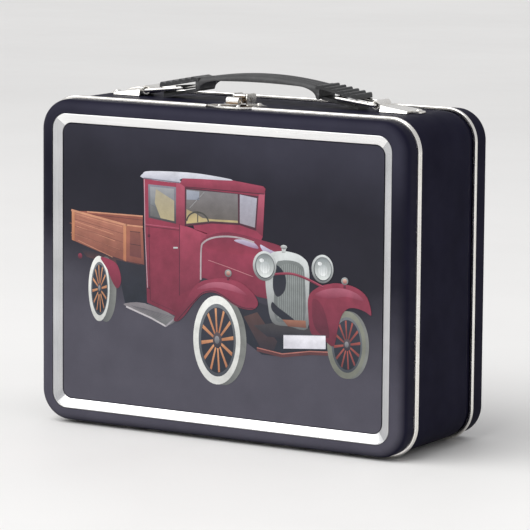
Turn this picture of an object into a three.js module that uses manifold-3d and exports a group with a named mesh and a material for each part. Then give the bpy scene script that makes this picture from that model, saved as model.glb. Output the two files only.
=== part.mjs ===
// Metal lunch box: a steel case with a hinged front lid, a carrying handle on two wire loops and a
// lever latch. Millimetres, +Z up. The lid faces -Y, the origin is under the middle of the box.
import * as THREE from "three";
import { mergeVertices } from "three/addons/utils/BufferGeometryUtils.js";
import Module from "manifold-3d";

const wasm = await Module();
wasm.setup();

// ---- Driving dimensions -------------------------------------------------------------------------
const WIDTH = 222;
const HEIGHT = 172.4; // over the rims, without the handle
const DEPTH = 85;
const RIM_PROUD = 1.4; // how far the rims stand out of the walls
const RIM_WIDTH = 1.45;
const CORNER_RADIUS = 16; // of the walls, seen from the front
const SHEET = 0.6;
const GAP = 0.3; // between pieces that touch

const LID_DEPTH = 12; // front face to seam
const LID_EDGE_ROUND = 5.2;
const COVER_DEPTH = 13.6; // rear seam to back face
const COVER_EDGE_ROUND = 2;
const LIP_REACH = 4; // how far the case's inner lip enters the lid
const CASE_RIM_FOOT = 101.5; // the case's rim stops at the lower corners, clear of the turning lid
const RIVET_CLEARANCE = 0.3;

const FRAME_HALF_WIDTH = 101.1; // outer edge of the bevelled frame in the lid
const FRAME_HALF_HEIGHT = 77.7;
const FRAME_RADIUS = 8.2;
const FRAME_WIDTH = 5;
const FRAME_DEPTH = 2;
const PANEL_SHEET = 0.4;
const BACK_STEP = { halfWidth: 97, halfHeight: 72.5, slopeWidth: 3, slopeDepth: 1.2, lead: 0 };

const HANDLE_Y = 3.5; // the handle stands a little behind the middle, clear of the latch
const HANDLE_WIDTH = 16.4;
const HANDLE_TOP = 186;
const GRIP_THICKNESS = 4.1;
const ARCH_FOOT_X = 22; // where the grip's underside begins to curve down
const ARCH_WALL_X = 35.3; // outer face of the arch's foot
const ARCH_END_X = 36.5; // where the arch's top meets the end plates
const ARCH_SAG = 0.5; // fall of the underside from its middle to ARCH_FOOT_X
const POCKET_X = 36.9; // inner wall of the pocket that holds the loop's crossbar
const HANDLE_END_X = 59.4;
const PLATE_UNDER_Z = 181; // underside of the end plates at ARCH_END_X
const PLATE_SLOPE = 0.195; // fall of the handle's end plates per millimetre outwards
const PLATE_THICKNESS = 1.6;
const RIB_COUNT = 6;
const RIB_HEIGHT = 0.8;
const FLANGE_END_X = 58.6;
const FLANGE_UNDER_Z = 171.35; // at FLANGE_END_X
const FLANGE_SLOPE = 0.19;
const FLANGE_LIP = 1; // thickness of the upturned lip at the flange's end
const FLANGE_LIP_Z = 174.4;
const LEG_ROOM_Z = 176.2; // top of the notches that clear the loop's legs

const WIRE_RADIUS = 1;
const LOOP_HALF_WIDTH = 7.3; // handle's middle to a leg's middle
const PIVOT_X = 69.2;
const PIVOT_Z = 174.2;
const CROSSBAR_X = 46.1;
const CROSSBAR_Z = 176.8;
const STUB_INNER_Y = 2.5; // the wire's turned-in ends stop here

const KNUCKLE_RADIUS = 2.4;
const KNUCKLE_BORE = 1.6;
const BRACKET_INNER_X = 72.4;
const BRACKET_OUTER_X = 88.3;
const BRACKET_INNER_TOP = 174.4;
const BRACKET_OUTER_TOP = 172.3;
const BRACKET_HALF_WIDTH = 8;
const BRACKET_LEAN = 1; // how far each flank leans in towards its top
const BRACKET_SHEET = 0.8;
const BRACKET_RIVET_X = 90.9;
const BRACKET_SHANK = 1;
const KNUCKLE_HALF_LENGTH = 6;
const TAB_HALF_WIDTH = 3.4;
const TAB_END_X = 93.6;
const TAB_CORNER = 1.1;

const LATCH_Y = -17.3; // the lever's pin
const LATCH_PIN_Z = 174.4;
const LATCH_HALF_WIDTH = 3.2;
const LATCH_PIN_RADIUS = 0.75;
const BASE_Y = -16.2; // the latch base
const BASE_HALF_LENGTH = 13;
const BASE_HALF_WIDTH = 5.2;
const BASE_THICKNESS = 0.7;
const BASE_RIVET_X = 8.6;
const BASE_SHANK = 0.8;
const EAR_THICKNESS = 0.6;
const EAR_HEIGHT = 6.4;
const EAR_FRONT_Y = -21;
const EAR_BACK_Y = -11.6;
const LEVER_SHEET = 0.7;
const HOOD_FRONT_Y = -21.4;
const NOSE_Y = -26.9; // the lever's rolled nose
const NOSE_Z = 174.5;
const NOSE_RADIUS = 2.1;
const NOSE_BORE = 1.4;
const NOSE_HALF_WIDTH = 3.6;
const CATCH_Y = -28.5;
const CATCH_HALF_LENGTH = 15.5;
const CATCH_HALF_WIDTH = 6.7;
const CATCH_EDGE = 1.3; // height of the catch plate's raised edge
const CATCH_RIVET_X = 5.5;
const CATCH_RIVET_Y = -31.9;
const CATCH_SHANK = 0.6;

const HINGE_X = 62;
const HINGE_HALF_LENGTH = 13.5;
const HINGE_Z = 1.3;
const HINGE_RADIUS = 1.3;
const HINGE_BORE = 0.85;
const HINGE_PIN = 0.5;
const KNUCKLE_SPLIT = 4.8; // half the length of a hinge's middle knuckle
const LEAF_REACH = 7.5;
const STRAP_RISE = 0.7; // the strap that carries a knuckle starts this far over the pin
const STRAP_OVERLAP = 0.5;

// ---- Derived places -----------------------------------------------------------------------------
const FRONT_Y = -DEPTH / 2;
const BACK_Y = DEPTH / 2;
const SEAM_Y = FRONT_Y + LID_DEPTH;
const REAR_SEAM_Y = BACK_Y - COVER_DEPTH;
const MID_Z = HEIGHT / 2;
const WALL_X = WIDTH / 2 - RIM_PROUD;
const WALL_Z = HEIGHT / 2 - RIM_PROUD;
const BAND_TOP = MID_Z + WALL_Z;
const FLOOR_Z = MID_Z - WALL_Z;
const PLATE_Z = BAND_TOP + GAP; // underside of the fittings on the top
const TAIL_Z = BAND_TOP - SHEET - GAP; // where the rivets' tails sit against the sheet
const EAR_TOP = PLATE_Z + EAR_HEIGHT;
const KNUCKLE_Z = PIVOT_Z + 0.2; // lifted a little, so the bracket's roll blends into its top
const HINGE_ROOM = HINGE_HALF_LENGTH + GAP;
const LATCH_ROOM = CATCH_HALF_LENGTH + 1;
const SIDES = [1, -1];

// ---- Materials ----------------------------------------------------------------------------------
const finish = (color, roughness, metalness) =>
  new THREE.MeshStandardMaterial({ color, roughness, metalness });
const navyPaint = finish(0x24232f, 0.45, 0.1);
const nickel = finish(0xd8d2c4, 0.22, 1);
const brushedFrame = finish(0xdcdcdc, 0.35, 1);
const printedPanel = finish(0x3c3b46, 0.5, 0.1);
const darkPlastic = finish(0x4a4a4c, 0.5, 0);

// ---- Solids -------------------------------------------------------------------------------------
// A closed three.js geometry as a manifold solid.
function solid(geometry) {
  const bare = geometry.clone();
  bare.deleteAttribute("normal");
  bare.deleteAttribute("uv");
  const merged = mergeVertices(bare, 1e-4);
  const mesh = new wasm.Mesh({
    numProp: 3,
    vertProperties: merged.attributes.position.array,
    triVerts: new Uint32Array(merged.index.array),
  });
  return new wasm.Manifold(mesh);
}

function geometryOf(body) {
  const mesh = body.getMesh();
  const geometry = new THREE.BufferGeometry();
  geometry.setAttribute("position", new THREE.BufferAttribute(mesh.vertProperties, 3));
  geometry.setIndex(new THREE.BufferAttribute(mesh.triVerts, 1));
  const faceted = geometry.toNonIndexed();
  faceted.computeVertexNormals();
  return faceted;
}

const join = (...bodies) => bodies.reduce((whole, body) => whole.add(body));
const cut = (body, ...tools) => tools.reduce((left, tool) => left.subtract(tool), body);

function box([x0, x1], [y0, y1], [z0, z1]) {
  const geometry = new THREE.BoxGeometry(x1 - x0, y1 - y0, z1 - z0);
  geometry.translate((x0 + x1) / 2, (y0 + y1) / 2, (z0 + z1) / 2);
  return solid(geometry);
}

function rod(axis, radius, [from, to], centre, sides = 16) {
  const geometry = new THREE.CylinderGeometry(radius, radius, to - from, sides);
  geometry.translate(0, (from + to) / 2, 0);
  if (axis === "x") geometry.rotateZ(-Math.PI / 2);
  if (axis === "z") geometry.rotateX(Math.PI / 2);
  geometry.translate(...centre);
  return solid(geometry);
}

// Points of an upright rounded rectangle around (0, MID_Z), as [x, z].
function roundedRectangle(halfWidth, halfHeight, radius, cornerSteps = 6) {
  const points = [];
  for (let corner = 0; corner < 4; corner++) {
    const cx = (corner === 1 || corner === 2 ? -1 : 1) * (halfWidth - radius);
    const cz = (corner > 1 ? -1 : 1) * (halfHeight - radius);
    for (let step = 0; step <= cornerSteps; step++) {
      const angle = ((corner + step / cornerSteps) * Math.PI) / 2;
      points.push([cx + radius * Math.cos(angle), MID_Z + cz + radius * Math.sin(angle)]);
    }
  }
  return points;
}

// A skin through closed outlines that share their point count: capped, or joined end to end.
function skin(outlines, closed) {
  const count = outlines[0].points.length;
  const positions = outlines.flatMap(({ points, y }) => points.flatMap(([x, z]) => [x, y, z]));
  const index = [];
  const bands = closed ? outlines.length : outlines.length - 1;
  for (let band = 0; band < bands; band++) {
    const a = band * count;
    const b = ((band + 1) % outlines.length) * count;
    for (let i = 0; i < count; i++) {
      const j = (i + 1) % count;
      index.push(a + i, b + i, b + j, a + i, b + j, a + j);
    }
  }
  if (!closed) {
    const last = (outlines.length - 1) * count;
    for (let i = 1; i < count - 1; i++) {
      index.push(0, i, i + 1);
      index.push(last, last + i + 1, last + i);
    }
  }
  const geometry = new THREE.BufferGeometry();
  geometry.setAttribute("position", new THREE.Float32BufferAttribute(positions, 3));
  geometry.setIndex(index);
  return solid(geometry);
}

// The case outline moved out by offset, at depth y.
const wallOutline = (offset, y) => ({
  points: roundedRectangle(WALL_X + offset, WALL_Z + offset, CORNER_RADIUS + offset),
  y,
});

// A block of the case's outline between two depths. Its face at y = face has a rounded edge.
function roundedBlock(inset, round, openY, face) {
  const out = Math.sign(face - openY);
  const outlines = [wallOutline(-inset, openY)];
  const steps = 5;
  for (let step = 0; step <= steps; step++) {
    const angle = ((step / steps) * Math.PI) / 2;
    const offset = -inset - round * (1 - Math.cos(angle));
    outlines.push(wallOutline(offset, face - out * round * (1 - Math.sin(angle))));
  }
  return skin(out > 0 ? outlines : outlines.reverse(), false);
}

// The space of a recess with sloping sides, grown by offset: straight in for lead, then the slope.
function recess({ halfWidth, halfHeight, slopeWidth, slopeDepth, lead }, face, offset) {
  const inward = -Math.sign(face);
  const outline = (shrink, depth) => ({
    points: roundedRectangle(
      halfWidth + offset - shrink,
      halfHeight + offset - shrink,
      FRAME_RADIUS - shrink / 2,
    ),
    y: face + inward * depth,
  });
  const outlines = [
    outline(0, -1),
    outline(0, lead + offset),
    outline(slopeWidth, lead + slopeDepth + offset),
  ];
  return skin(inward > 0 ? outlines : outlines.reverse(), false);
}

// A ring around the case: profile points are [offset out of the wall, y], counter-clockwise.
const rimRing = (profile) => skin(profile.map(([offset, y]) => wallOutline(offset, y)), true);

// A flat outline pushed along an axis: [x, z] points along y, [y, z] along x, [x, y] along z.
function extrude(axis, points, [from, to]) {
  const shape = new THREE.Shape(points.map(([u, v]) => new THREE.Vector2(u, v)));
  const geometry = new THREE.ExtrudeGeometry(shape, { depth: to - from, bevelEnabled: false });
  if (axis === "y") {
    geometry.rotateX(Math.PI / 2);
    geometry.translate(0, to, 0);
  } else if (axis === "x") {
    const x = new THREE.Vector3(1, 0, 0);
    const y = new THREE.Vector3(0, 1, 0);
    const z = new THREE.Vector3(0, 0, 1);
    geometry.applyMatrix4(new THREE.Matrix4().makeBasis(y, z, x));
    geometry.translate(from, 0, 0);
  } else {
    geometry.translate(0, 0, from);
  }
  return solid(geometry);
}

// A leaf-shaped outline with pointed ends, around (0, y).
function leafOutline(halfLength, halfWidth, y, steps = 10) {
  const points = [];
  for (const side of [1, -1]) {
    for (let step = 0; step < steps; step++) {
      const x = side * halfLength * (1 - (2 * step) / steps);
      points.push([x, y + side * halfWidth * (1 - (x / halfLength) ** 2)]);
    }
  }
  return points;
}

// A rivet through the fittings and the sheet below: domed head, shank and flat tail.
function rivet([x, y], headZ, headRadius, shankRadius) {
  const tailRadius = headRadius * 0.8;
  const tailEnd = TAIL_Z - 0.5;
  const profile = [
    [0, headZ + 0.9],
    [headRadius * 0.6, headZ + 0.75],
    [headRadius, headZ + 0.2],
    [headRadius, headZ],
    [shankRadius, headZ],
    [shankRadius, TAIL_Z],
    [tailRadius, TAIL_Z],
    [tailRadius, tailEnd],
    [0, tailEnd],
  ];
  const points = profile.reverse().map(([r, z]) => new THREE.Vector2(r, z));
  const geometry = new THREE.LatheGeometry(points, 12);
  geometry.rotateX(Math.PI / 2);
  geometry.translate(x, y, 0);
  return solid(geometry);
}

// ---- Cutting tools shared by pieces that make room for each other ------------------------------
const latchRoom = box([-LATCH_ROOM, LATCH_ROOM], [-40, -20], [BAND_TOP, BAND_TOP + 5]);
const hingeRoom = (side, yRange, height) => {
  const middle = side * HINGE_X;
  return box([middle - HINGE_ROOM, middle + HINGE_ROOM], yRange, [-1, height]);
};
const rivetHole = ([x, y], radius) =>
  rod("z", radius + RIVET_CLEARANCE, [-20, 20], [x, y, BAND_TOP]);

// ---- Case ---------------------------------------------------------------------------------------
// The four walls, with an inner lip that stands into the lid.
function caseBand() {
  const frontY = SEAM_Y + GAP / 2;
  const backY = REAR_SEAM_Y - GAP / 2;
  const lipOut = -(SHEET + GAP);
  const lipIn = lipOut - SHEET;
  const joggleY = frontY + 2;
  const walls = rimRing([
    [0, frontY],
    [0, backY],
    [-SHEET, backY],
    [-SHEET, joggleY + SHEET],
    [lipIn, joggleY + SHEET],
    [lipIn, frontY - LIP_REACH],
    [lipOut, frontY - LIP_REACH],
    [lipOut, joggleY],
    [-SHEET, joggleY],
    [-SHEET, frontY],
  ]);
  const hingeNotches = SIDES.flatMap((side) => [
    hingeRoom(side, [-40, SEAM_Y + HINGE_RADIUS + GAP], 4),
    hingeRoom(side, [-40, joggleY + SHEET + GAP], FLOOR_Z + SHEET + 4).subtract(
      box([-WIDTH, WIDTH], [-40, 0], [-2, FLOOR_Z + SHEET]),
    ),
  ]);
  const holes = SIDES.flatMap((side) => [
    rivetHole([side * BASE_RIVET_X, BASE_Y], BASE_SHANK),
    rivetHole([side * BRACKET_RIVET_X, HANDLE_Y], BRACKET_SHANK),
  ]);
  const catchTails = CATCH_RIVET_X + 2.5;
  const lipGap = box([-catchTails, catchTails], [-40, frontY], [BAND_TOP - 5, BAND_TOP]);
  return cut(walls, lipGap, ...hingeNotches, ...holes);
}

// A rim's section: proud of the wall, with eased outer edges and a flat crown.
function rimProfile(y0, y1) {
  const inner = 0.25;
  const ease = 0.35;
  return [
    [inner, y0],
    [RIM_PROUD - ease, y0],
    [RIM_PROUD, y0 + ease],
    [RIM_PROUD, y1 - ease],
    [RIM_PROUD - ease, y1],
    [inner, y1],
  ];
}

const caseRim = () => rimRing(rimProfile(SEAM_Y + GAP / 2, SEAM_Y + GAP / 2 + RIM_WIDTH));
const lidRim = () => rimRing(rimProfile(SEAM_Y - GAP / 2 - RIM_WIDTH, SEAM_Y - GAP / 2));
const rearSeamRim = () => rimRing(rimProfile(REAR_SEAM_Y - 1, REAR_SEAM_Y + 1));

// One side of a front rim, from the latch round to bottomX on the underside.
function rimSide(ring, side, bottomX) {
  const otherSide = box(side > 0 ? [-WIDTH, 0] : [0, WIDTH], [-50, 50], [-5, HEIGHT + 5]);
  const underside = box([-bottomX, bottomX], [-50, 50], [-1, 5]);
  return cut(ring, latchRoom, otherSide, underside);
}

// The back pan, with a shallow stamped step.
function backCover() {
  const openY = REAR_SEAM_Y + GAP / 2;
  const step = (offset) => recess(BACK_STEP, BACK_Y, offset);
  const outside = roundedBlock(0, COVER_EDGE_ROUND, openY, BACK_Y);
  const inside = roundedBlock(SHEET, COVER_EDGE_ROUND - SHEET, openY - 1, BACK_Y - SHEET);
  return outside.subtract(step(0)).subtract(inside.subtract(step(SHEET)));
}

// ---- Lid ----------------------------------------------------------------------------------------
const FRAME_SEAT = {
  halfWidth: FRAME_HALF_WIDTH,
  halfHeight: FRAME_HALF_HEIGHT,
  slopeWidth: FRAME_WIDTH,
  slopeDepth: FRAME_DEPTH,
  lead: PANEL_SHEET + GAP,
};

function lidShell() {
  const openY = SEAM_Y - GAP / 2;
  const seat = (offset) => recess(FRAME_SEAT, FRONT_Y, offset);
  const outside = roundedBlock(0, LID_EDGE_ROUND, openY, FRONT_Y);
  const inside = roundedBlock(SHEET, LID_EDGE_ROUND - SHEET, openY + 1, FRONT_Y + SHEET);
  const shell = outside.subtract(seat(GAP)).subtract(inside.subtract(seat(GAP + SHEET)));
  const notches = SIDES.flatMap((side) => [
    hingeRoom(side, [SEAM_Y - HINGE_RADIUS - GAP, SEAM_Y], 2.1),
    rivetHole([side * CATCH_RIVET_X, CATCH_RIVET_Y], CATCH_SHANK),
  ]);
  return cut(shell, ...notches);
}

// The bare metal bevel between the lid's border and the printed panel.
function lidBevelFrame() {
  const floorY = FRONT_Y + FRAME_DEPTH;
  const ring = (shrink, y) => ({
    points: roundedRectangle(
      FRAME_HALF_WIDTH - shrink,
      FRAME_HALF_HEIGHT - shrink,
      FRAME_RADIUS - shrink / 2,
    ),
    y,
  });
  return skin(
    [
      ring(0, FRONT_Y + GAP),
      ring(FRAME_WIDTH, floorY + GAP),
      ring(FRAME_WIDTH, floorY),
      ring(0, FRONT_Y),
    ],
    true,
  );
}

function lidPanel() {
  const shrink = FRAME_WIDTH + GAP;
  const floorY = FRONT_Y + FRAME_DEPTH;
  const outline = (y) => ({
    points: roundedRectangle(
      FRAME_HALF_WIDTH - shrink,
      FRAME_HALF_HEIGHT - shrink,
      FRAME_RADIUS - FRAME_WIDTH / 2,
    ),
    y,
  });
  return skin([outline(floorY), outline(floorY + PANEL_SHEET)], false);
}

function lidRimBottom() {
  const halfLength = HINGE_X - HINGE_ROOM;
  return lidRim().intersect(box([-halfLength, halfLength], [-50, 0], [-5, 5]));
}

// ---- Hinges under the seam ----------------------------------------------------------------------
function hingeLeaf(toLid) {
  const out = toLid ? -1 : 1;
  const spans = toLid
    ? [[-HINGE_HALF_LENGTH, -KNUCKLE_SPLIT - GAP / 2], [KNUCKLE_SPLIT + GAP / 2, HINGE_HALF_LENGTH]]
    : [[-KNUCKLE_SPLIT + GAP / 2, KNUCKLE_SPLIT - GAP / 2]];
  const leafZ = [FLOOR_Z + SHEET + GAP, FLOOR_Z + 2 * SHEET + GAP];
  const start = SEAM_Y + out * (HINGE_RADIUS + GAP);
  const range = (a, b) => [Math.min(a, b), Math.max(a, b)];
  const length = [-HINGE_HALF_LENGTH, HINGE_HALF_LENGTH];
  const strip = box(length, range(start, SEAM_Y + out * LEAF_REACH), leafZ);
  const knuckles = spans.map((span) =>
    join(
      rod("x", HINGE_RADIUS, span, [0, SEAM_Y, HINGE_Z]),
      box(span, range(SEAM_Y, start + out * STRAP_OVERLAP), [HINGE_Z + STRAP_RISE, leafZ[1]]),
    ),
  );
  return cut(join(strip, ...knuckles), rod("x", HINGE_BORE, [-20, 20], [0, SEAM_Y, HINGE_Z]));
}

const hingePin = () =>
  rod("x", HINGE_PIN, [-HINGE_HALF_LENGTH, HINGE_HALF_LENGTH], [0, SEAM_Y, HINGE_Z], 12);

// ---- Latch --------------------------------------------------------------------------------------
// A leaf-shaped plate on the case with two ears that carry the lever's pin.
function latchBase() {
  const leaf = leafOutline(BASE_HALF_LENGTH, BASE_HALF_WIDTH, BASE_Y);
  const plate = extrude("z", leaf, [PLATE_Z, PLATE_Z + BASE_THICKNESS]);
  const [backCorner, frontCorner] = [1.5, 0.6];
  const earOutline = [
    [EAR_FRONT_Y, PLATE_Z],
    [EAR_BACK_Y, PLATE_Z],
    [EAR_BACK_Y, EAR_TOP - backCorner],
    [EAR_BACK_Y - backCorner, EAR_TOP],
    [EAR_FRONT_Y + frontCorner, EAR_TOP],
    [EAR_FRONT_Y, EAR_TOP - frontCorner],
  ];
  const inner = LATCH_HALF_WIDTH + 0.4;
  const ears = SIDES.map((side) => {
    const span = side > 0 ? [inner, inner + EAR_THICKNESS] : [-inner - EAR_THICKNESS, -inner];
    return extrude("x", earOutline, span);
  });
  const holes = SIDES.map((side) => rivetHole([side * BASE_RIVET_X, BASE_Y], BASE_SHANK));
  const pinHole = rod("x", LATCH_PIN_RADIUS + GAP, [-9, 9], [0, LATCH_Y, LATCH_PIN_Z]);
  return cut(join(plate, ...ears), pinHole, ...holes);
}

const latchPin = () => rod("x", LATCH_PIN_RADIUS, [-4.9, 4.9], [0, LATCH_Y, LATCH_PIN_Z], 12);

// The lever: a hub on the pin, a hooded top, and a tongue that ends in a rolled nose.
function latchLever() {
  const span = [-LATCH_HALF_WIDTH, LATCH_HALF_WIDTH];
  const top = EAR_TOP - 0.2;
  const hub = rod("x", 1.9, span, [0, LATCH_Y, LATCH_PIN_Z]);
  const post = box(span, [LATCH_Y - 0.9, LATCH_Y + 0.5], [LATCH_PIN_Z, top]);
  const hood = box(span, [HOOD_FRONT_Y, LATCH_Y + 0.5], [top - LEVER_SHEET, top]);
  const hoodLip = box(span, [HOOD_FRONT_Y, HOOD_FRONT_Y + 0.6], [top - 1.9, top]);
  const tongueZ = NOSE_Z - 1.25;
  const tongue = box([-2.9, 2.9], [NOSE_Y, LATCH_Y], [tongueZ, tongueZ + LEVER_SHEET]);
  const nose = rod("x", NOSE_RADIUS, [-NOSE_HALF_WIDTH, NOSE_HALF_WIDTH], [0, NOSE_Y, NOSE_Z]);
  return cut(
    join(hub, post, hood, hoodLip, tongue, nose),
    rod("x", LATCH_PIN_RADIUS + GAP, [-9, 9], [0, LATCH_Y, LATCH_PIN_Z]),
    rod("x", NOSE_BORE, [-9, 9], [0, NOSE_Y, NOSE_Z]),
  );
}

// The lid's leaf-shaped plate under the nose, with a raised edge that is open where the lever passes.
function catchPlate() {
  const outer = leafOutline(CATCH_HALF_LENGTH, CATCH_HALF_WIDTH, CATCH_Y, 16);
  const inner = leafOutline(CATCH_HALF_LENGTH - 2.4, CATCH_HALF_WIDTH - 0.8, CATCH_Y, 16);
  const edge = extrude("z", outer, [PLATE_Z, PLATE_Z + CATCH_EDGE]).subtract(
    extrude("z", inner, [PLATE_Z - 1, PLATE_Z + 3]),
  );
  const plate = extrude("z", outer, [PLATE_Z, PLATE_Z + SHEET]);
  const passageHalf = NOSE_HALF_WIDTH + 1;
  const passage = box([-passageHalf, passageHalf], [CATCH_Y, -20], [PLATE_Z + SHEET, PLATE_Z + 3]);
  const holes = SIDES.map((side) => rivetHole([side * CATCH_RIVET_X, CATCH_RIVET_Y], CATCH_SHANK));
  return cut(join(plate, edge), passage, ...holes);
}

// ---- Handle, for the right side unless it is whole; y is measured from the handle's middle ------
const plateUnder = (x) => PLATE_UNDER_Z - PLATE_SLOPE * (x - ARCH_END_X);
const plateTop = (x) => plateUnder(x) + PLATE_THICKNESS;
const flangeUnder = (x) => FLANGE_UNDER_Z + FLANGE_SLOPE * (FLANGE_END_X - x);
const flangeTop = (x) => flangeUnder(x) + PLATE_THICKNESS;

// The right half of the grip's outline, clockwise from the middle of its top.
function gripOutline() {
  const points = [];
  const topSteps = 6;
  const crown = HANDLE_TOP - plateTop(ARCH_END_X);
  for (let step = 0; step <= topSteps; step++) {
    const share = step / topSteps;
    points.push([ARCH_END_X * share, HANDLE_TOP - crown * share ** 2]);
  }
  const pitch = (HANDLE_END_X - ARCH_END_X) / RIB_COUNT;
  for (let rib = 0; rib < RIB_COUNT; rib++) {
    const start = ARCH_END_X + rib * pitch;
    const crest = start + pitch * 0.75;
    points.push([crest, plateTop(crest) + RIB_HEIGHT], [start + pitch, plateTop(start + pitch)]);
  }
  const lipX = FLANGE_END_X - FLANGE_LIP;
  points.push([HANDLE_END_X, plateUnder(HANDLE_END_X)]);
  points.push([POCKET_X, plateUnder(POCKET_X)], [POCKET_X, flangeTop(POCKET_X)]);
  points.push([lipX, flangeTop(lipX)], [lipX, FLANGE_LIP_Z], [FLANGE_END_X, FLANGE_LIP_Z]);
  points.push([FLANGE_END_X, FLANGE_UNDER_Z], [ARCH_WALL_X, flangeUnder(ARCH_WALL_X)]);
  const underside = HANDLE_TOP - GRIP_THICKNESS;
  const archRise = underside - ARCH_SAG - flangeUnder(ARCH_WALL_X);
  const archSteps = 5;
  for (let step = 1; step <= archSteps; step++) {
    const angle = ((step / archSteps) * Math.PI) / 2;
    const x = ARCH_FOOT_X + (ARCH_WALL_X - ARCH_FOOT_X) * Math.cos(angle);
    points.push([x, flangeUnder(ARCH_WALL_X) + archRise * Math.sin(angle)]);
  }
  points.push([0, underside]);
  return points;
}

function handleGrip() {
  const half = gripOutline();
  const left = half.slice(1, -1).reverse().map(([x, z]) => [-x, z]);
  const outline = [...half, ...left].reverse();
  const halfWidth = HANDLE_WIDTH / 2;
  const body = extrude("y", outline, [-halfWidth, halfWidth]);
  const flangeHalf = LOOP_HALF_WIDTH - WIRE_RADIUS - 2 * GAP;
  const legRoom = SIDES.flatMap((side) =>
    SIDES.map((end) => {
      const x = end > 0 ? [CROSSBAR_X, 70] : [-70, -CROSSBAR_X];
      const y = side > 0 ? [flangeHalf, 20] : [-20, -flangeHalf];
      return box(x, y, [BAND_TOP, LEG_ROOM_Z]);
    }),
  );
  return cut(body, ...legRoom);
}

// A wire loop with its two ends turned into the bracket's knuckle, lying flat at height 0.
function handleLoop() {
  const barX = PIVOT_X - Math.hypot(CROSSBAR_Z - PIVOT_Z, PIVOT_X - CROSSBAR_X);
  const pieces = [rod("y", WIRE_RADIUS, [-LOOP_HALF_WIDTH, LOOP_HALF_WIDTH], [barX, 0, 0], 10)];
  for (const side of SIDES) {
    const y = side * LOOP_HALF_WIDTH;
    const stub = side > 0 ? [STUB_INNER_Y, y] : [y, -STUB_INNER_Y];
    pieces.push(rod("x", WIRE_RADIUS, [barX, PIVOT_X], [0, y, 0], 10));
    pieces.push(rod("y", WIRE_RADIUS, stub, [PIVOT_X, 0, 0], 10));
    for (const x of [barX, PIVOT_X]) {
      const bend = new THREE.SphereGeometry(WIRE_RADIUS, 10, 6);
      bend.translate(x, y, 0);
      pieces.push(solid(bend));
    }
  }
  return join(...pieces);
}

// A folded sheet channel whose top rolls over into the knuckle, with a riveted tab at its outer end.
function handleBracket() {
  const outside = [
    [BRACKET_INNER_X, PLATE_Z],
    [BRACKET_OUTER_X, PLATE_Z],
    [BRACKET_OUTER_X, BRACKET_OUTER_TOP],
    [BRACKET_INNER_X, BRACKET_INNER_TOP],
  ];
  const fall = (BRACKET_INNER_TOP - BRACKET_OUTER_TOP) / (BRACKET_OUTER_X - BRACKET_INNER_X);
  const insideTop = (x) => BRACKET_INNER_TOP - BRACKET_SHEET - fall * (x - BRACKET_INNER_X);
  const start = BRACKET_INNER_X - 1;
  const end = BRACKET_OUTER_X - BRACKET_SHEET;
  const inside = [
    [start, PLATE_Z - 1],
    [end, PLATE_Z - 1],
    [end, insideTop(end)],
    [start, insideTop(start)],
  ];
  const leaning = (profile, half) => {
    const across = [
      [-half, PLATE_Z - 1],
      [half, PLATE_Z - 1],
      [half, PLATE_Z],
      [half - BRACKET_LEAN, BRACKET_INNER_TOP],
      [BRACKET_LEAN - half, BRACKET_INNER_TOP],
      [-half, PLATE_Z],
    ];
    return extrude("y", profile, [-half, half]).intersect(
      extrude("x", across, [start, BRACKET_OUTER_X]),
    );
  };
  const channel = leaning(outside, BRACKET_HALF_WIDTH).subtract(
    leaning(inside, BRACKET_HALF_WIDTH - BRACKET_SHEET),
  );
  const rollSpan = [-KNUCKLE_HALF_LENGTH, KNUCKLE_HALF_LENGTH];
  const knuckle = rod("y", KNUCKLE_RADIUS, rollSpan, [PIVOT_X, 0, KNUCKLE_Z]);
  const neck = box(
    [PIVOT_X + KNUCKLE_RADIUS / 2, BRACKET_INNER_X + 0.6],
    rollSpan,
    [BRACKET_INNER_TOP - BRACKET_SHEET, BRACKET_INNER_TOP],
  );
  const tabStart = BRACKET_OUTER_X - 0.5;
  const tabOutline = [
    [tabStart, -TAB_HALF_WIDTH],
    [TAB_END_X - TAB_CORNER, -TAB_HALF_WIDTH],
    [TAB_END_X, TAB_CORNER - TAB_HALF_WIDTH],
    [TAB_END_X, TAB_HALF_WIDTH - TAB_CORNER],
    [TAB_END_X - TAB_CORNER, TAB_HALF_WIDTH],
    [tabStart, TAB_HALF_WIDTH],
  ];
  const tab = extrude("z", tabOutline, [PLATE_Z, PLATE_Z + BRACKET_SHEET]);
  const bore = rod("y", KNUCKLE_BORE, [-20, 20], [PIVOT_X, 0, KNUCKLE_Z]);
  const hole = rivetHole([BRACKET_RIVET_X, 0], BRACKET_SHANK);
  return cut(join(channel, knuckle, neck, tab), bore, hole);
}

// ---- Assembly -----------------------------------------------------------------------------------
const lunchBox = new THREE.Group();

function place(parent, name, body, material) {
  const mesh = new THREE.Mesh(geometryOf(body), material);
  mesh.name = name;
  parent.add(mesh);
  return mesh;
}

place(lunchBox, "body_band", caseBand(), navyPaint);
place(lunchBox, "back_cover", backCover(), navyPaint);
place(lunchBox, "rear_seam_rim", rearSeamRim(), nickel);

const lid = new THREE.Group();
lunchBox.add(lid);
place(lid, "lid_shell", lidShell(), navyPaint);
place(lid, "lid_bevel_frame", lidBevelFrame(), brushedFrame);
place(lid, "lid_panel", lidPanel(), printedPanel);
place(lid, "lid_rim_bottom", lidRimBottom(), nickel);
place(lid, "catch_plate", catchPlate(), nickel);

place(lunchBox, "latch_base", latchBase(), nickel);
place(lunchBox, "latch_pin", latchPin(), nickel);
place(lunchBox, "latch_lever", latchLever(), nickel);
place(lunchBox, "handle_grip", handleGrip(), darkPlastic).position.y = HANDLE_Y;

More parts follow.
